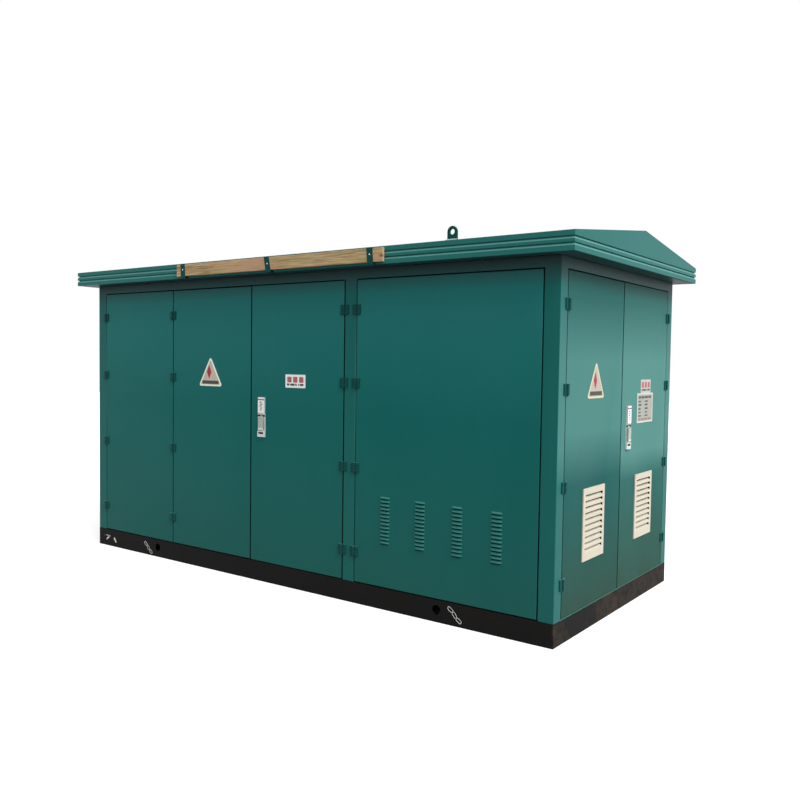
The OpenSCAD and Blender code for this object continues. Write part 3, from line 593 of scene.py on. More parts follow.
# Welded forms, in which no joint shows: name, nodes, radius, steps, slot, material
weldedSet = {
    "welded_frame": (["corner_posts", "middle_posts", "top_rails"], 0.004, 3, "green_paint", enamel),
    "welded_base": (["base_side_channels", "base_end_channels"], 0.004, 2, "black_paint", blackPaint),
    "folded_roof_band": (["eaves_fascias", "end_fascias", "gable_panels"], 0.0015, 2, "green_paint", bandEnamel),
    "folded_roof_sheet": (["roof_front_slope", "roof_rear_slope"], 0.0015, 2, "green_paint", roofEnamel),
}
for name, (nodeNames, radius, steps, slotName, material) in weldedSet.items():
    addPiece(name, rollEdges(uniteNodes(nodeNames), radius, steps), "kiosk", [material], nodeNames)

# Nodes whose CAD shape is right: they only get their finish
keptSet = {
    "base_cross_channels": blackPaint, "floor_plate": floorPaint, "door_stops": shadeEnamel,
    "roof_soffit": shadeEnamel, "room_handle_boss": zincGrey, "end_handle_boss": zincGrey,
    "near_door_grille": creamPlastic, "far_door_grille": creamPlastic, "left_end_grilles": creamPlastic,
}
for nodeName, material in keptSet.items():
    nodes[nodeName].data.materials.clear()
    nodes[nodeName].data.materials.append(material)
    shadeByAngle(nodes[nodeName].data)
print("stage: sheet metal made")

# Small parts, set out in a face's own frame and then moved to that face
def joinMeshes(meshes):
    # one mesh from several, with their materials kept
    bm = bmesh.new()
    materials = []
    for mesh in meshes:
        first = len(bm.faces)
        bm.from_mesh(mesh)
        bm.faces.ensure_lookup_table()
        for face in bm.faces[first:]:
            material = mesh.materials[face.material_index]
            if material not in materials:
                materials.append(material)
            face.material_index = materials.index(material)
    joined = bpy.data.meshes.new("joined")
    bm.to_mesh(joined)
    bm.free()
    for material in materials:
        joined.materials.append(material)
    return joined


def newTree(name, sizes):
    # an empty Geometry Nodes tree with named inputs
    tree = bpy.data.node_groups.new(name, "GeometryNodeTree")
    tree.interface.new_socket("Geometry", in_out="INPUT", socket_type="NodeSocketGeometry")
    for label, kind in sizes.items():
        tree.interface.new_socket(label, in_out="INPUT", socket_type="NodeSocket" + kind)
    tree.interface.new_socket("Geometry", in_out="OUTPUT", socket_type="NodeSocketGeometry")
    return tree, addNode(tree, "NodeGroupInput").outputs


def runTree(tree, points, sizes):
    # the tree's result on these points, as a plain mesh
    source = bpy.data.meshes.new("points")
    source.from_pydata(points, [], [])
    holder = bpy.data.objects.new("points", source)
    bpy.context.scene.collection.objects.link(holder)
    modifier = holder.modifiers.new("build", "NODES")
    modifier.node_group = tree
    for item in tree.interface.items_tree:
        if item.name in sizes:
            modifier[item.identifier] = sizes[item.name]
    graph = bpy.context.evaluated_depsgraph_get()
    mesh = bpy.data.meshes.new_from_object(holder.evaluated_get(graph))
    holder.modifiers.remove(modifier)
    bpy.data.objects.remove(holder)
    return mesh


def buildHeadTree():
    # domed screw and rivet heads on the points, their tops outwards
    tree, given = newTree("domedHeads", {"Radius": "Float", "Height": "Float", "Finish": "Material"})
    ball = addNode(tree, "GeometryNodeMeshUVSphere", inputs={"Segments": 10, "Rings": 6, "Radius": given["Radius"]})
    place = addNode(tree, "GeometryNodeInputPosition")
    axes = addNode(tree, "ShaderNodeSeparateXYZ", inputs={0: place.outputs[0]})
    above = addNode(tree, "ShaderNodeMath", {"operation": "MAXIMUM"}, {0: axes.outputs["Z"], 1: 0.0})
    ratio = addNode(tree, "ShaderNodeMath", {"operation": "DIVIDE"}, {0: given["Height"], 1: given["Radius"]})
    above = addNode(tree, "ShaderNodeMath", {"operation": "MULTIPLY"}, {0: above.outputs[0], 1: ratio.outputs[0]})
    moved = addNode(tree, "ShaderNodeCombineXYZ", inputs={
        "X": axes.outputs["X"], "Y": axes.outputs["Y"], "Z": above.outputs[0]})
    dome = addNode(tree, "GeometryNodeSetPosition", inputs={"Geometry": ball.outputs[0], "Position": moved.outputs[0]})
    dome = addNode(tree, "GeometryNodeTransform", inputs={
        "Geometry": dome.outputs[0], "Rotation": (math.pi / 2, 0, 0)})
    heads = addNode(tree, "GeometryNodeInstanceOnPoints", inputs={
        "Points": given["Geometry"], "Instance": dome.outputs[0]})
    solid = addNode(tree, "GeometryNodeRealizeInstances", inputs={"Geometry": heads.outputs[0]})
    finished = addNode(tree, "GeometryNodeSetMaterial", inputs={
        "Geometry": solid.outputs[0], "Material": given["Finish"]})
    addNode(tree, "NodeGroupOutput", inputs={0: finished.outputs[0]})
    return tree


headTree = buildHeadTree()


def placeHeads(name, groups, sizes):
    # groups: (face, body) to points on that face; makes one piece for each body
    byBody = {}
    for (face, body), points in groups.items():
        mesh = runTree(headTree, points, sizes)
        mesh.transform(faces[face])
        byBody.setdefault(body, []).append(mesh)
    for body, meshes in byBody.items():
        whole = joinMeshes(meshes)
        shadeByAngle(whole, 40)
        addPiece(name + "_" + body, whole, body, [])


# Hinge screws, painted over: two in each half plate
hingeSet = {
    "heights": (0.348, 0.9015, 1.455, 1.935),
    "screwOff": 0.0235,     # from the hinge line
    "screwUp": 0.019,       # above and below the middle
    "plate": 0.008,
    "radius": 0.0055,
    "proud": 0.0016,
}
hingeLines = [  # face, line, side and the body that the half is on
    ("front", 0.5885, -1, "room_leaf"), ("front", 0.5885, 1, "kiosk"),
    ("front", 0.6895, 1, "wide_leaf"), ("front", 0.6895, -1, "kiosk"),
    ("right", -0.8445, 1, "near_leaf"), ("right", -0.8445, -1, "kiosk"),
    ("right", 0.8445, -1, "far_leaf"), ("right", 0.8445, 1, "kiosk"),
]
hingeLines += [("front", x, side, "kiosk") for x in (-2.0265, -1.1555) for side in (-1, 1)]
hingeLines += [("rear", x, side, "kiosk") for x in (-2.0265, -1.1555, 0.5885, 0.6895) for side in (-1, 1)]
hingeLines += [("left", x, side, "kiosk") for x in (-0.8445, 0.8445) for side in (-1, 1)]
hingeScrews = {}
for face, line, side, body in hingeLines:
    for z in hingeSet["heights"]:
        for up in (-hingeSet["screwUp"], hingeSet["screwUp"]):
            hingeScrews.setdefault((face, body), []).append(
                (line + side * hingeSet["screwOff"], -hingeSet["plate"], z + up))
placeHeads("hinge_screws", hingeScrews,
           {"Radius": hingeSet["radius"], "Height": hingeSet["proud"], "Finish": shadeEnamel})

# Rivets in the corners and long sides of each grille's border
grilleSet = {"middle": 0.42275, "low": 0.426, "high": 0.862, "half": 0.159, "in": 0.0155, "proud": 0.007}
grilleRivets = {}
for face, side, body in (("right", -1, "near_leaf"), ("right", 1, "far_leaf"), ("left", -1, "kiosk"), ("left", 1, "kiosk")):
    for x in (-1, 1):
        for z in (grilleSet["low"] + 0.019, (grilleSet["low"] + grilleSet["high"]) / 2, grilleSet["high"] - 0.019):
            grilleRivets.setdefault((face, body), []).append(
                (side * grilleSet["middle"] + x * (grilleSet["half"] - grilleSet["in"]), -grilleSet["proud"], z))
placeHeads("grille_rivets", grilleRivets, {"Radius": 0.0048, "Height": 0.0018, "Finish": creamPlastic})

# One bright screw through each plank clip
clipSet = {"screws": ((-0.871, 2.262), (0.011, 2.256), (0.900, 2.262)), "face": -0.1419}
placeHeads("clip_screws", {(face, "kiosk"): [(x, clipSet["face"], z) for x, z in clipSet["screws"]]
                           for face in ("front", "rear")},
           {"Radius": 0.0052, "Height": 0.001, "Finish": brightSteel})

# Pressed louvres of the wide door: the sheet is cut and pushed out into hoods
louvreSet = {
    "Columns": 4,
    "Rows": 13,
    "Column Pitch": 0.272,
    "Row Pitch": 0.0241,
    "Width": 0.074,
    "Height": 0.0112,
    "Depth": 0.008,
    "Slot": 0.0095,
    "Enamel": louvreEnamel,
    "Shade": louvreDark,
}
louvreMiddle = (1.348, 0, 0.582)


def buildLouvreTree():
    tree, given = newTree("pressedLouvres", {
        "Columns": "Int", "Rows": "Int", "Column Pitch": "Float", "Row Pitch": "Float", "Width": "Float",
        "Height": "Float", "Depth": "Float", "Slot": "Float", "Enamel": "Material", "Shade": "Material"})
    size = addNode(tree, "ShaderNodeCombineXYZ", inputs={"X": given["Width"], "Y": given["Height"], "Z": 1.0})
    block = addNode(tree, "GeometryNodeMeshCube", inputs={
        "Size": size.outputs[0], "Vertices X": 11, "Vertices Y": 5, "Vertices Z": 2})
    place = addNode(tree, "GeometryNodeInputPosition")
    axes = addNode(tree, "ShaderNodeSeparateXYZ", inputs={0: place.outputs[0]})
    # across: full depth in the middle, closing quickly at both ends
    across = addNode(tree, "ShaderNodeMath", {"operation": "DIVIDE"}, {0: axes.outputs["X"], 1: given["Width"]})
    across = addNode(tree, "ShaderNodeMath", {"operation": "ABSOLUTE"}, {0: across.outputs[0]})
    across = addNode(tree, "ShaderNodeMath", {"operation": "MULTIPLY"}, {0: across.outputs[0], 1: 2.0})
    across = addNode(tree, "ShaderNodeMath", {"operation": "POWER"}, {0: across.outputs[0], 1: 5.0})
    across = addNode(tree, "ShaderNodeMath", {"operation": "SUBTRACT", "use_clamp": True}, {0: 1.0, 1: across.outputs[0]})
    across = addNode(tree, "ShaderNodeMath", {"operation": "POWER"}, {0: across.outputs[0], 1: 0.5})
    # up: proud at the lip, back into the sheet at the top
    upward = addNode(tree, "ShaderNodeMath", {"operation": "DIVIDE"}, {0: axes.outputs["Y"], 1: given["Height"]})
    upward = addNode(tree, "ShaderNodeMath", {"operation": "ADD"}, {0: upward.outputs[0], 1: 0.5})
    upward = addNode(tree, "ShaderNodeMath", {"operation": "MULTIPLY"}, {0: upward.outputs[0], 1: math.pi / 2})
    upward = addNode(tree, "ShaderNodeMath", {"operation": "COSINE"}, {0: upward.outputs[0]})
    proud = addNode(tree, "ShaderNodeMath", {"operation": "MULTIPLY"}, {0: across.outputs[0], 1: upward.outputs[0]})
    proud = addNode(tree, "ShaderNodeMath", {"operation": "MULTIPLY"}, {0: proud.outputs[0], 1: given["Depth"]})
    outer = addNode(tree, "ShaderNodeMath", {"operation": "GREATER_THAN"}, {0: axes.outputs["Z"], 1: 0.0})
    proud = addNode(tree, "ShaderNodeMath", {"operation": "ADD"}, {0: proud.outputs[0], 1: 0.0012})
    proud = addNode(tree, "ShaderNodeMath", {"operation": "MULTIPLY"}, {0: proud.outputs[0], 1: outer.outputs[0]})
    proud = addNode(tree, "ShaderNodeMath", {"operation": "SUBTRACT"}, {0: proud.outputs[0], 1: 0.001})
    moved = addNode(tree, "ShaderNodeCombineXYZ", inputs={
        "X": axes.outputs["X"], "Y": axes.outputs["Y"], "Z": proud.outputs[0]})
    hood = addNode(tree, "GeometryNodeSetPosition", inputs={"Geometry": block.outputs[0], "Position": moved.outputs[0]})
    hood = addNode(tree, "GeometryNodeSetMaterial", inputs={"Geometry": hood.outputs[0], "Material": given["Enamel"]})
    # the cut that shows under the lip: a dark strip, painted shade for the opening
    slotWidth = addNode(tree, "ShaderNodeMath", {"operation": "MULTIPLY"}, {0: given["Width"], 1: 0.88})
    slotSize = addNode(tree, "ShaderNodeCombineXYZ", inputs={"X": slotWidth.outputs[0], "Y": given["Slot"], "Z": 0.0012})
    slot = addNode(tree, "GeometryNodeMeshCube", inputs={"Size": slotSize.outputs[0]})
    down = addNode(tree, "ShaderNodeMath", {"operation": "ADD"}, {0: given["Height"], 1: given["Slot"]})
    down = addNode(tree, "ShaderNodeMath", {"operation": "MULTIPLY"}, {0: down.outputs[0], 1: -0.5})
    shift = addNode(tree, "ShaderNodeCombineXYZ", inputs={"X": 0.0, "Y": down.outputs[0], "Z": -0.0004})
    slot = addNode(tree, "GeometryNodeTransform", inputs={"Geometry": slot.outputs[0], "Translation": shift.outputs[0]})
    slot = addNode(tree, "GeometryNodeSetMaterial", inputs={"Geometry": slot.outputs[0], "Material": given["Shade"]})
    both = addNode(tree, "GeometryNodeJoinGeometry", inputs={0: hood.outputs[0]})
    tree.links.new(slot.outputs[0], both.inputs[0])
    lessX = addNode(tree, "ShaderNodeMath", {"operation": "SUBTRACT"}, {0: given["Columns"], 1: 1.0})
    lessY = addNode(tree, "ShaderNodeMath", {"operation": "SUBTRACT"}, {0: given["Rows"], 1: 1.0})
    spanX = addNode(tree, "ShaderNodeMath", {"operation": "MULTIPLY"}, {0: lessX.outputs[0], 1: given["Column Pitch"]})
    spanY = addNode(tree, "ShaderNodeMath", {"operation": "MULTIPLY"}, {0: lessY.outputs[0], 1: given["Row Pitch"]})
    field = addNode(tree, "GeometryNodeMeshGrid", inputs={
        "Size X": spanX.outputs[0], "Size Y": spanY.outputs[0],
        "Vertices X": given["Columns"], "Vertices Y": given["Rows"]})
    many = addNode(tree, "GeometryNodeInstanceOnPoints", inputs={
        "Points": field.outputs["Mesh"], "Instance": both.outputs[0]})
    upright = addNode(tree, "GeometryNodeTransform", inputs={
        "Geometry": many.outputs[0], "Rotation": (math.pi / 2, 0, 0)})
    solid = addNode(tree, "GeometryNodeRealizeInstances", inputs={"Geometry": upright.outputs[0]})
    # the hoods' undersides get the dark finish too, as painted shade
    facing = addNode(tree, "ShaderNodeSeparateXYZ", inputs={
        0: addNode(tree, "GeometryNodeInputNormal").outputs[0]})
    under = addNode(tree, "ShaderNodeMath", {"operation": "LESS_THAN"}, {0: facing.outputs["Z"], 1: -0.7})
    finished = addNode(tree, "GeometryNodeSetMaterial", inputs={
        "Geometry": solid.outputs[0], "Selection": under.outputs[0], "Material": given["Shade"]})
    addNode(tree, "NodeGroupOutput", inputs={0: finished.outputs[0]})
    return tree


louvreTree = buildLouvreTree()
for face, body in (("front", "wide_leaf"), ("rear", "kiosk")):
    mesh = runTree(louvreTree, [(0, 0, 0)], louvreSet)
    mesh.transform(faces[face] @ Matrix.Translation(louvreMiddle))
    shadeByAngle(mesh, 40)
    addPiece("pressed_louvres_" + face, mesh, body, [])
print("stage: screws, rivets and pressed louvres made")


def roundedOutline(corners, radius, steps=4):
    # a flat outline with its corners rounded, anticlockwise as seen from outside
    outline = []
    count = len(corners)
    for i in range(count):
        here = Vector(corners[i])
        before = (Vector(corners[i - 1]) - here).normalized()
        after = (Vector(corners[(i + 1) % count]) - here).normalized()
        half = before.angle(after) / 2
        reach = radius / math.tan(half)
        middle = here + (before + after).normalized() * radius / math.sin(half)
        start, end = here + before * reach - middle, here + after * reach - middle
        turn = start.angle_signed(end)
        for step in range(steps + 1):
            angle = -turn * step / steps
            spin = Matrix.Rotation(angle, 2)
            outline.append(tuple(middle + spin @ start))
    return outline


def boxOutline(x0, x1, z0, z1, radius=0.0):
    corners = [(x0, z0), (x1, z0), (x1, z1), (x0, z1)]
    return roundedOutline(corners, radius) if radius else corners


def platePiece(name, face, body, layers, materials):
    # flat layers on a face: outline, back and front distance from the face, material number
    bm = bmesh.new()
    for outline, back, front, number in layers:
        near = [bm.verts.new((x, -front, z)) for x, z in outline]
        far = [bm.verts.new((x, -back, z)) for x, z in outline]
        made = [bm.faces.new(near), bm.faces.new(list(reversed(far)))]
        for i in range(len(outline)):
            j = (i + 1) % len(outline)
            made.append(bm.faces.new((near[i], far[i], far[j], near[j])))
        for f in made:
            f.material_index = number
    bmesh.ops.recalc_face_normals(bm, faces=bm.faces)
    mesh = bpy.data.meshes.new(name)
    bm.to_mesh(mesh)
    bm.free()
    mesh.transform(faces[face])
    shadeByAngle(mesh, 35)
    return addPiece(name, mesh, body, materials)


# Enamelled sign plates, printed with plain shapes
signSet = {
    "half": 0.129,
    "height": 0.223,
    "rim": 0.0125,
    "corner": 0.013,
    "thick": 0.0016,
    "layer": 0.0003,
}


def triangleSign(cfg, name, face, body, x, z, finishes):
    half, height = cfg["half"], cfg["height"]
    inner = half * height / (half + math.hypot(half, height))  # radius of the circle inside
    scale = (inner - cfg["rim"]) / inner
    plate = [(-half, 0), (half, 0), (0, height)]
    field = [(px * scale, inner + (pz - inner) * scale) for px, pz in plate]
    diamond = [(-0.014, 0.054), (0.011, 0.105), (-0.014, 0.160), (-0.039, 0.109)]
    bar = boxOutline(-0.091, 0.091, 0.017, 0.042, 0.004)
    t, layer = cfg["thick"], cfg["layer"]
    stack = [(roundedOutline(plate, cfg["corner"]), 0, t, 0), (roundedOutline(field, 0.006), t / 2, t + layer, 1),
             (diamond, t, t + 2 * layer, 2), (bar, t, t + 2 * layer, 3)]
    stack = [([(px + x, pz + z) for px, pz in outline], back, front, number) for outline, back, front, number in stack]
    platePiece(name, face, body, stack, [finishes["rim"], finishes["field"], signRed, signDark])


def roomSign(name, face, body, x, z, finishes):
    # white plate: three plain rose blocks over a dark bar of short blocks
    stack = [(boxOutline(-0.0935, 0.0935, 0, 0.092, 0.003), 0, 0.0016, 0)]
    for middle in (-0.056, 0.0, 0.056):
        stack.append((boxOutline(middle - 0.020, middle + 0.020, 0.037, 0.076, 0.004), 0.001, 0.0019, 1))
    for start, end in ((-0.078, -0.056), (-0.048, -0.006), (0.000, 0.014), (0.028, 0.038), (0.044, 0.077)):
        stack.append((boxOutline(start, end, 0.015, 0.029), 0.001, 0.0019, 2))
    stack = [([(px + x, pz + z) for px, pz in outline], back, front, number) for outline, back, front, number in stack]
    platePiece(name, face, body, stack, [finishes["white"], signRose, signDark])


def namePlate(name, face, body, x, z):
    # engraved aluminium: rows of plain dashes in two columns
    stack = [(boxOutline(-0.15, 0.15, 0, 0.2, 0.003), 0, 0.0014, 0),
             (boxOutline(-0.138, 0.138, 0.010, 0.191, 0.003), 0.001, 0.0016, 1)]
    for row, (up, tall) in enumerate(((0.172, 0.015), (0.144, 0.010), (0.121, 0.012), (0.095, 0.012),
                                      (0.070, 0.008), (0.047, 0.009), (0.023, 0.013))):
        if row in (0, 6):
            parts = ((-0.125, -0.085), (-0.075, -0.020), (-0.012, 0.050), (0.060, 0.115))
        else:
            parts = ((-0.128, -0.085 + 0.006 * (row % 3)), (-0.005, 0.045 + 0.005 * (row % 2)))
        for start, end in parts:
            stack.append((boxOutline(start, end, up - tall / 2, up + tall / 2), 0.001, 0.0018, 3 if row == 6 else 2))
    stack = [([(px + x, pz + z) for px, pz in outline], back, front, number) for outline, back, front, number in stack]
    platePiece(name, face, body, stack, [plateRim, plateSilver, signDark, signBrown])


fresh = {"white": signWhite, "rim": signRim, "field": signField}
aged = {"white": agedWhite, "rim": agedRim, "field": agedField}
signPlaces = (("front", "kiosk", "room_leaf"), ("rear", "kiosk", "kiosk"))
for face, foldBody, roomBody in signPlaces:
    triangleSign(signSet, "triangle_plate_" + face, face, foldBody, -0.720, 1.395, fresh)
    roomSign("room_plate_" + face, face, roomBody, 0.151, 1.407, fresh)
for face, nearBody, farBody in (("right", "near_leaf", "far_leaf"), ("left", "kiosk", "kiosk")):
    triangleSign(signSet, "triangle_plate_" + face, face, nearBody, -0.425, 1.395, aged)
    roomSign("room_plate_" + face, face, farBody, 0.430, 1.408, aged)
    namePlate("name_plate_" + face, face, farBody, 0.427, 1.208)
signRivets = {
    ("front", "room_leaf"): [(x, -0.0015, z) for x in (0.0635, 0.2385) for z in (1.413, 1.493)],
    ("rear", "kiosk"): [(x, -0.0015, z) for x in (0.0635, 0.2385) for z in (1.413, 1.493)],
    ("right", "far_leaf"): [(x, -0.0013, z) for x in (0.283, 0.571) for z in (1.2155, 1.4005)],
    ("left", "kiosk"): [(x, -0.0013, z) for x in (0.283, 0.571) for z in (1.2155, 1.4005)],
}
placeHeads("sign_rivets", signRivets, {"Radius": 0.0032, "Height": 0.0014, "Finish": brightSteel})

# Dressing of the cabinet handles: sticker, dark slot, side strips, keyhole and the lever's pale end
handleSet = {
    "pivot": 1.184,
    "head": 0.013,          # front of the head and foot blocks
    "plate": 0.004,
    "rail": 0.0035,         # the two rails beside the lever
    "lever": 0.0175,
    "sticker": (1.221, 1.3285),
    "line": (1.3095, 1.3185),
    "slot": (1.1935, 1.2045),
    "keyhole": 1.0745,
}


def dressHandle(cfg, name, face, body, leverBody, x):
    head, plate, lever = cfg["head"], cfg["plate"], cfg["lever"]
    z0, z1 = cfg["sticker"]
    stack = [(boxOutline(-0.0295, 0.0295, z0, z1, 0.003), head - 0.001, head + 0.0003, 0),
             (boxOutline(-0.0295, 0.0295, *cfg["line"]), head, head + 0.0005, 1)]
    for start, end, low, high in ((-0.013, 0.006, 1.290, 1.299), (-0.008, 0.015, 1.277, 1.285), (-0.015, 0.008, 1.265, 1.272),
                                  (-0.006, 0.013, 1.250, 1.258), (-0.011, 0.009, 1.237, 1.244)):
        stack.append((boxOutline(start, end, low, high), head, head + 0.0005, 2))
    platePiece(name + "_sticker", face, body,
               [([(px + x, pz) for px, pz in o], b, f, n) for o, b, f, n in stack], [stickerWhite, magentaPrint, greyPrint])
    # the dark slot over the lever is painted shade
    stack = [(boxOutline(-0.0345, 0.0345, *cfg["slot"]), plate - 0.001, plate + cfg["rail"] + 0.0006, 0)]
    for side in (-1, 1):
        stack.append((boxOutline(*sorted((side * 0.0285, side * 0.0345)), 1.0905, 1.2125), plate - 0.001,
                      plate + cfg["rail"], 1))
    stack.append((boxOutline(-0.024, 0.024, cfg["keyhole"] - 0.0055, cfg["keyhole"] + 0.0065, 0.005),
                  head - 0.001, head + 0.0008, 0))
    stack.append((boxOutline(-0.0025, 0.0025, cfg["keyhole"] - 0.0085, cfg["keyhole"] - 0.0045, 0.0015),
                  head - 0.001, head + 0.0011, 2))
    platePiece(name + "_trim", face, body,
               [([(px + x, pz) for px, pz in o], b, f, n) for o, b, f, n in stack], [darkGap, plateRim, signRed])
    stack = [(boxOutline(-0.0225, 0.0225, 1.0992, 1.1115, 0.003), lever - 0.001, lever + 0.0008, 0)]
    platePiece(name + "_lever_end", face, leverBody,
               [([(px + x, pz) for px, pz in o], b, f, n) for o, b, f, n in stack], [plateRim])


dressHandle(handleSet, "room_handle", "front", "room_leaf", "room_lever", -0.171)
dressHandle(handleSet, "end_handle", "right", "far_leaf", "end_lever", 0.1125)
dressHandle(handleSet, "rear_handle", "rear", "kiosk", "kiosk", -0.171)
dressHandle(handleSet, "left_handle", "left", "kiosk", "kiosk", 0.1125)
print("stage: sign plates and handles dressed")

# The backs of the leaves: a rubber gasket, hat stiffeners, and a case with lock bars behind a handle
backSet = {
    "leaf": 0.040,          # thickness of a leaf
    "low": 0.146,
    "high": 2.126,
    "flange": 0.029,        # half widths of a hat stiffener
    "crown": 0.018,
    "sheet": 0.0015,
    "deep": 0.018,
    "railIn": 0.1,          # from the leaf's ends to the level stiffeners
    "gasket": (0.006, 0.015, 0.0035),   # from the edge, to, and how thick
    "case": (0.030, 0.048, 0.026),      # half width, half height, depth
    "bar": (0.009, 0.004),
    "barLow": 0.172,
    "barHigh": 2.09,
}


def leafBack(cfg, name, face, body, left, right, uprights, handle=None):
    plane, low, high = cfg["leaf"], cfg["low"], cfg["high"]
    layers = []

    def add(x0, x1, z0, z1, near, far, number, radius=0.0):
        layers.append((boxOutline(x0, x1, z0, z1, radius), -(plane + far), -(plane + near), number))

    start, end, thick = cfg["gasket"]
    for x in (left + start, right - end):
        add(x, x + end - start, low + start, high - start, -0.0005, thick, 1)
    for z in (low + start, high - end):
        add(left + end, right - end, z, z + end - start, -0.0005, thick, 1)
    rails = (low + cfg["railIn"], high - cfg["railIn"])
    for x in uprights:
        add(x - cfg["flange"], x + cfg["flange"], rails[0] + cfg["flange"], rails[1] - cfg["flange"], -0.0005, cfg["sheet"], 0)
        add(x - cfg["crown"], x + cfg["crown"], rails[0] + cfg["crown"], rails[1] - cfg["crown"], 0, cfg["deep"], 0)
    for z in rails:
        add(left + 0.03, right - 0.03, z - cfg["flange"], z + cfg["flange"], -0.0005, cfg["sheet"] + 0.0003, 0)
        add(left + 0.04, right - 0.04, z - cfg["crown"], z + cfg["crown"], 0, cfg["deep"] + 0.0003, 0)
    if handle:
        x, z = handle
        wide, tall, deep = cfg["case"]
        half, flat = cfg["bar"]
        add(x - wide, x + wide, z - tall, z + tall, -0.0005, deep, 2, 0.004)
        top = cfg["deep"] + 0.0008
        add(x - half, x + half, z + tall - 0.004, cfg["barHigh"], top, top + flat, 2, 0.002)
        add(x - half, x + half, cfg["barLow"], z - tall + 0.004, top, top + flat, 2, 0.002)
        for guide in (rails[0], (rails[0] + z) / 2, (rails[1] + z) / 2, rails[1]):  # straps that hold the bars
            add(x - 0.022, x + 0.022, guide - 0.008, guide + 0.008, cfg["sheet"], top + flat + 0.002, 2, 0.002)
    platePiece(name, face, body, layers, [innerEnamel, darkGap, zincGrey])


roomLock, endLock = (-0.171, handleSet["pivot"]), (0.1125, handleSet["pivot"])
for side, bodies in (("front", ("kiosk", "kiosk", "room_leaf", "wide_leaf")), ("rear", ("kiosk",) * 4)):
    leafBack(backSet, "outer_leaf_back_" + side, side, bodies[0], -2.023, -1.159, (-1.791, -1.391))
    leafBack(backSet, "inner_leaf_back_" + side, side, bodies[1], -1.152, -0.288, (-0.920, -0.520))
    leafBack(backSet, "room_leaf_back_" + side, side, bodies[2], -0.279, 0.585, (-0.047, 0.353), roomLock)
    leafBack(backSet, "wide_leaf_back_" + side, side, bodies[3], 0.693, 2.023, (1.0255, 1.358, 1.6905))
for side, bodies in (("right", ("near_leaf", "far_leaf")), ("left", ("kiosk", "kiosk"))):
    leafBack(backSet, "near_leaf_back_" + side, side, bodies[0], -0.841, -0.0045, (-0.623, -0.223))
    leafBack(backSet, "far_leaf_back_" + side, side, bodies[1], 0.0045, 0.841, (0.223, 0.623), endLock)

# Black strips in the gaps where two leaves meet, painted shade that makes the gaps read dark; each fixed to one leaf
# and a millimetre short of one that swings
gapShadeStrips = {"low": 0.15, "high": 2.122, "near": 0.016, "far": 0.030}
meetings = {
    ("front", "kiosk"): ((-1.1592, -1.1518), (-0.2882, -0.2800)),
    ("rear", "kiosk"): ((-1.1592, -1.1518), (-0.2882, -0.2788)),
    ("right", "near_leaf"): ((-0.0047, 0.0035),),
    ("left", "kiosk"): ((-0.0047, 0.0047),),
}
for (face, body), gaps in meetings.items():
    platePiece("meeting_gap_shade_" + face, face, body,
               [(boxOutline(x0, x1, gapShadeStrips["low"], gapShadeStrips["high"]), -gapShadeStrips["far"], -gapShadeStrips["near"], 0)
                for x0, x1 in gaps], [darkGap])
print("stage: backs of the leaves and their seals made")

# Painted marks on the base: slinging chains and two earth strokes, by brush
markSet = {"chain": 0.0030, "link": 0.020, "overlap": 0.98, "sway": 9, "thick": 0.0006, "seed": 3}


def ribbonOutline(points, width, closed, wobble):
    # the two sides of a brush stroke along the points
    count = len(points)
    left, right = [], []
    for i, point in enumerate(points):
        here = Vector(point)
        before = Vector(points[i - 1] if closed or i else points[0])
        after = Vector(points[(i + 1) % count] if closed or i < count - 1 else points[-1])
        along = (after - before).normalized()
        side = Vector((-along.y, along.x)) * width / 2 * wobble()
        left.append(here + side)
        right.append(here - side)
    return left, right


def paintStrokes(name, face, strokes, thick):
    # strokes: points, width, closed, material number
    bm = bmesh.new()
    dice = random.Random(markSet["seed"])
    for points, width, closed, number in strokes:
        left, right = ribbonOutline(points, width, closed, lambda: dice.uniform(0.8, 1.2))
        rows = [[bm.verts.new((v.x, y, v.y)) for v in side]
                for side in (left, right) for y in (-thick, 0.0004)]
        leftFront, leftBack, rightFront, rightBack = rows
        count = len(points)
        made = []
        for i in range(count if closed else count - 1):
            j = (i + 1) % count
            made.append(bm.faces.new((leftFront[i], leftFront[j], rightFront[j], rightFront[i])))
            made.append(bm.faces.new((leftBack[j], leftBack[i], rightBack[i], rightBack[j])))
            made.append(bm.faces.new((leftFront[j], leftFront[i], leftBack[i], leftBack[j])))
            made.append(bm.faces.new((rightFront[i], rightFront[j], rightBack[j], rightBack[i])))
        if not closed:
            made.append(bm.faces.new((leftFront[0], rightFront[0], rightBack[0], leftBack[0])))
            made.append(bm.faces.new((rightFront[-1], leftFront[-1], leftBack[-1], rightBack[-1])))
        for f in made:
            f.material_index = number
    bmesh.ops.recalc_face_normals(bm, faces=bm.faces)
    mesh = bpy.data.meshes.new(name)
    bm.to_mesh(mesh)
    bm.free()
    mesh.transform(faces[face])
    addPiece(name, mesh, "kiosk", [whitePaint, redMark])


def chainLoop(x, z, length, width, degrees):
    # one link as an oval loop
    points = []
    straight = (length - width) / 2
    spin = Matrix.Rotation(math.radians(degrees), 2)
    for start, offset in ((-90, straight), (90, -straight)):
        for step in range(7):
            angle = math.radians(start + step * 30)
            point = Vector((offset + width / 2 * math.cos(angle), width / 2 * math.sin(angle)))
            points.append(tuple(Vector((x, z)) + spin @ point))
    return points


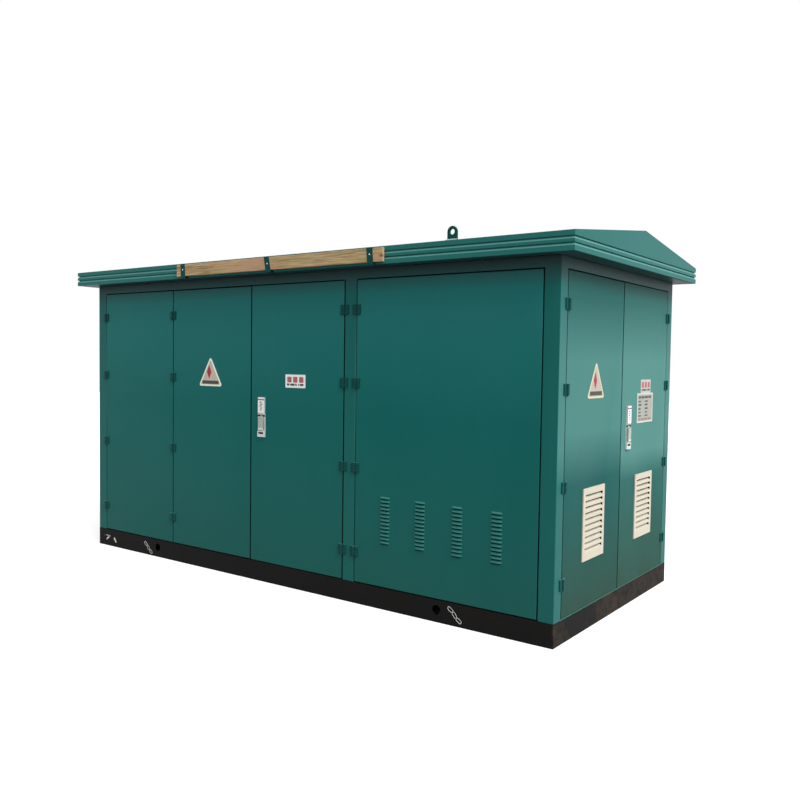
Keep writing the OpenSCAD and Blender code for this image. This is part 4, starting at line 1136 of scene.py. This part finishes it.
chains = []
for topX, topZ, lowX, lowZ in ((1.433, 0.113, 1.524, 0.026), (-1.512, 0.102, -1.417, 0.018)):
    lean = math.degrees(math.atan2(lowZ - topZ, lowX - topX))
    length = math.hypot(lowX - topX, lowZ - topZ) / 3 * markSet["overlap"]
    for part, sway in ((1 / 6, 1), (1 / 2, -1), (5 / 6, 1)):
        chains.append((chainLoop(topX + part * (lowX - topX), topZ + part * (lowZ - topZ), length, markSet["link"],
                                 lean + sway * markSet["sway"]), markSet["chain"], True, 0))
earth = [([(-2.036, 0.086), (-2.010, 0.088), (-1.978, 0.082)], 0.006, False, 0),
         ([(-2.026, 0.050), (-2.014, 0.065), (-1.996, 0.072)], 0.014, False, 0),
         ([(-1.925, 0.075), (-1.912, 0.059), (-1.896, 0.040)], 0.017, False, 0),
         ([(-2.062, 0.081), (-2.053, 0.083), (-2.045, 0.081)], 0.008, False, 1)]
for face in ("front", "rear"):
    paintStrokes("base_marks_" + face, face, chains + earth, markSet["thick"])

# The frame's sill, a paler strip that shows between the end leaves and the base
sillSet = {"low": 0.1401, "high": 0.1436, "back": 0.012, "in": 0.0006}
for face, half in (("right", 0.862), ("left", 0.862)):
    platePiece("sill_" + face, face, "kiosk",
               [(boxOutline(-half, half, sillSet["low"], sillSet["high"]), -sillSet["back"], -sillSet["in"], 0)],
               [sillEnamel])

# A pale bead along the foot of each lug
lugBeadSet = {"from": 1.441, "to": 1.523, "radius": 0.0065, "place": -0.1115, "height": 2.3105}


def beadMesh(start, end, radius, stations=15, around=10):
    # a capped bead between two points, a little uneven along its length
    start, end = Vector(start), Vector(end)
    along = (end - start).normalized()
    side = along.orthogonal().normalized()
    other = along.cross(side)
    bm = bmesh.new()
    rings = []
    for i in range(stations):
        u = i / (stations - 1)
        r = radius * max(0.12, (1 - abs(2 * u - 1) ** 6)) ** 0.5 * (1 + 0.08 * math.sin(i * 2.1))
        middle = start.lerp(end, u)
        rings.append([bm.verts.new(middle + r * (math.cos(a) * side + math.sin(a) * other))
                      for a in (2 * math.pi * k / around for k in range(around))])
    for low, high in zip(rings, rings[1:]):
        for k in range(around):
            bm.faces.new((low[k], low[(k + 1) % around], high[(k + 1) % around], high[k]))
    bm.faces.new(list(reversed(rings[0])))
    bm.faces.new(rings[-1])
    bmesh.ops.recalc_face_normals(bm, faces=bm.faces)
    mesh = bpy.data.meshes.new("bead")
    bm.to_mesh(mesh)
    bm.free()
    shadeByAngle(mesh, 50)
    return mesh


for face in ("front", "rear"):
    lugBead = beadMesh((lugBeadSet["from"], lugBeadSet["place"], lugBeadSet["height"]),
                    (lugBeadSet["to"], lugBeadSet["place"], lugBeadSet["height"]), lugBeadSet["radius"])
    lugBead.transform(faces[face])
    addPiece("lug_bead_" + face, lugBead, "kiosk", [paleBeadFinish])
print("stage: painted marks and seals made")
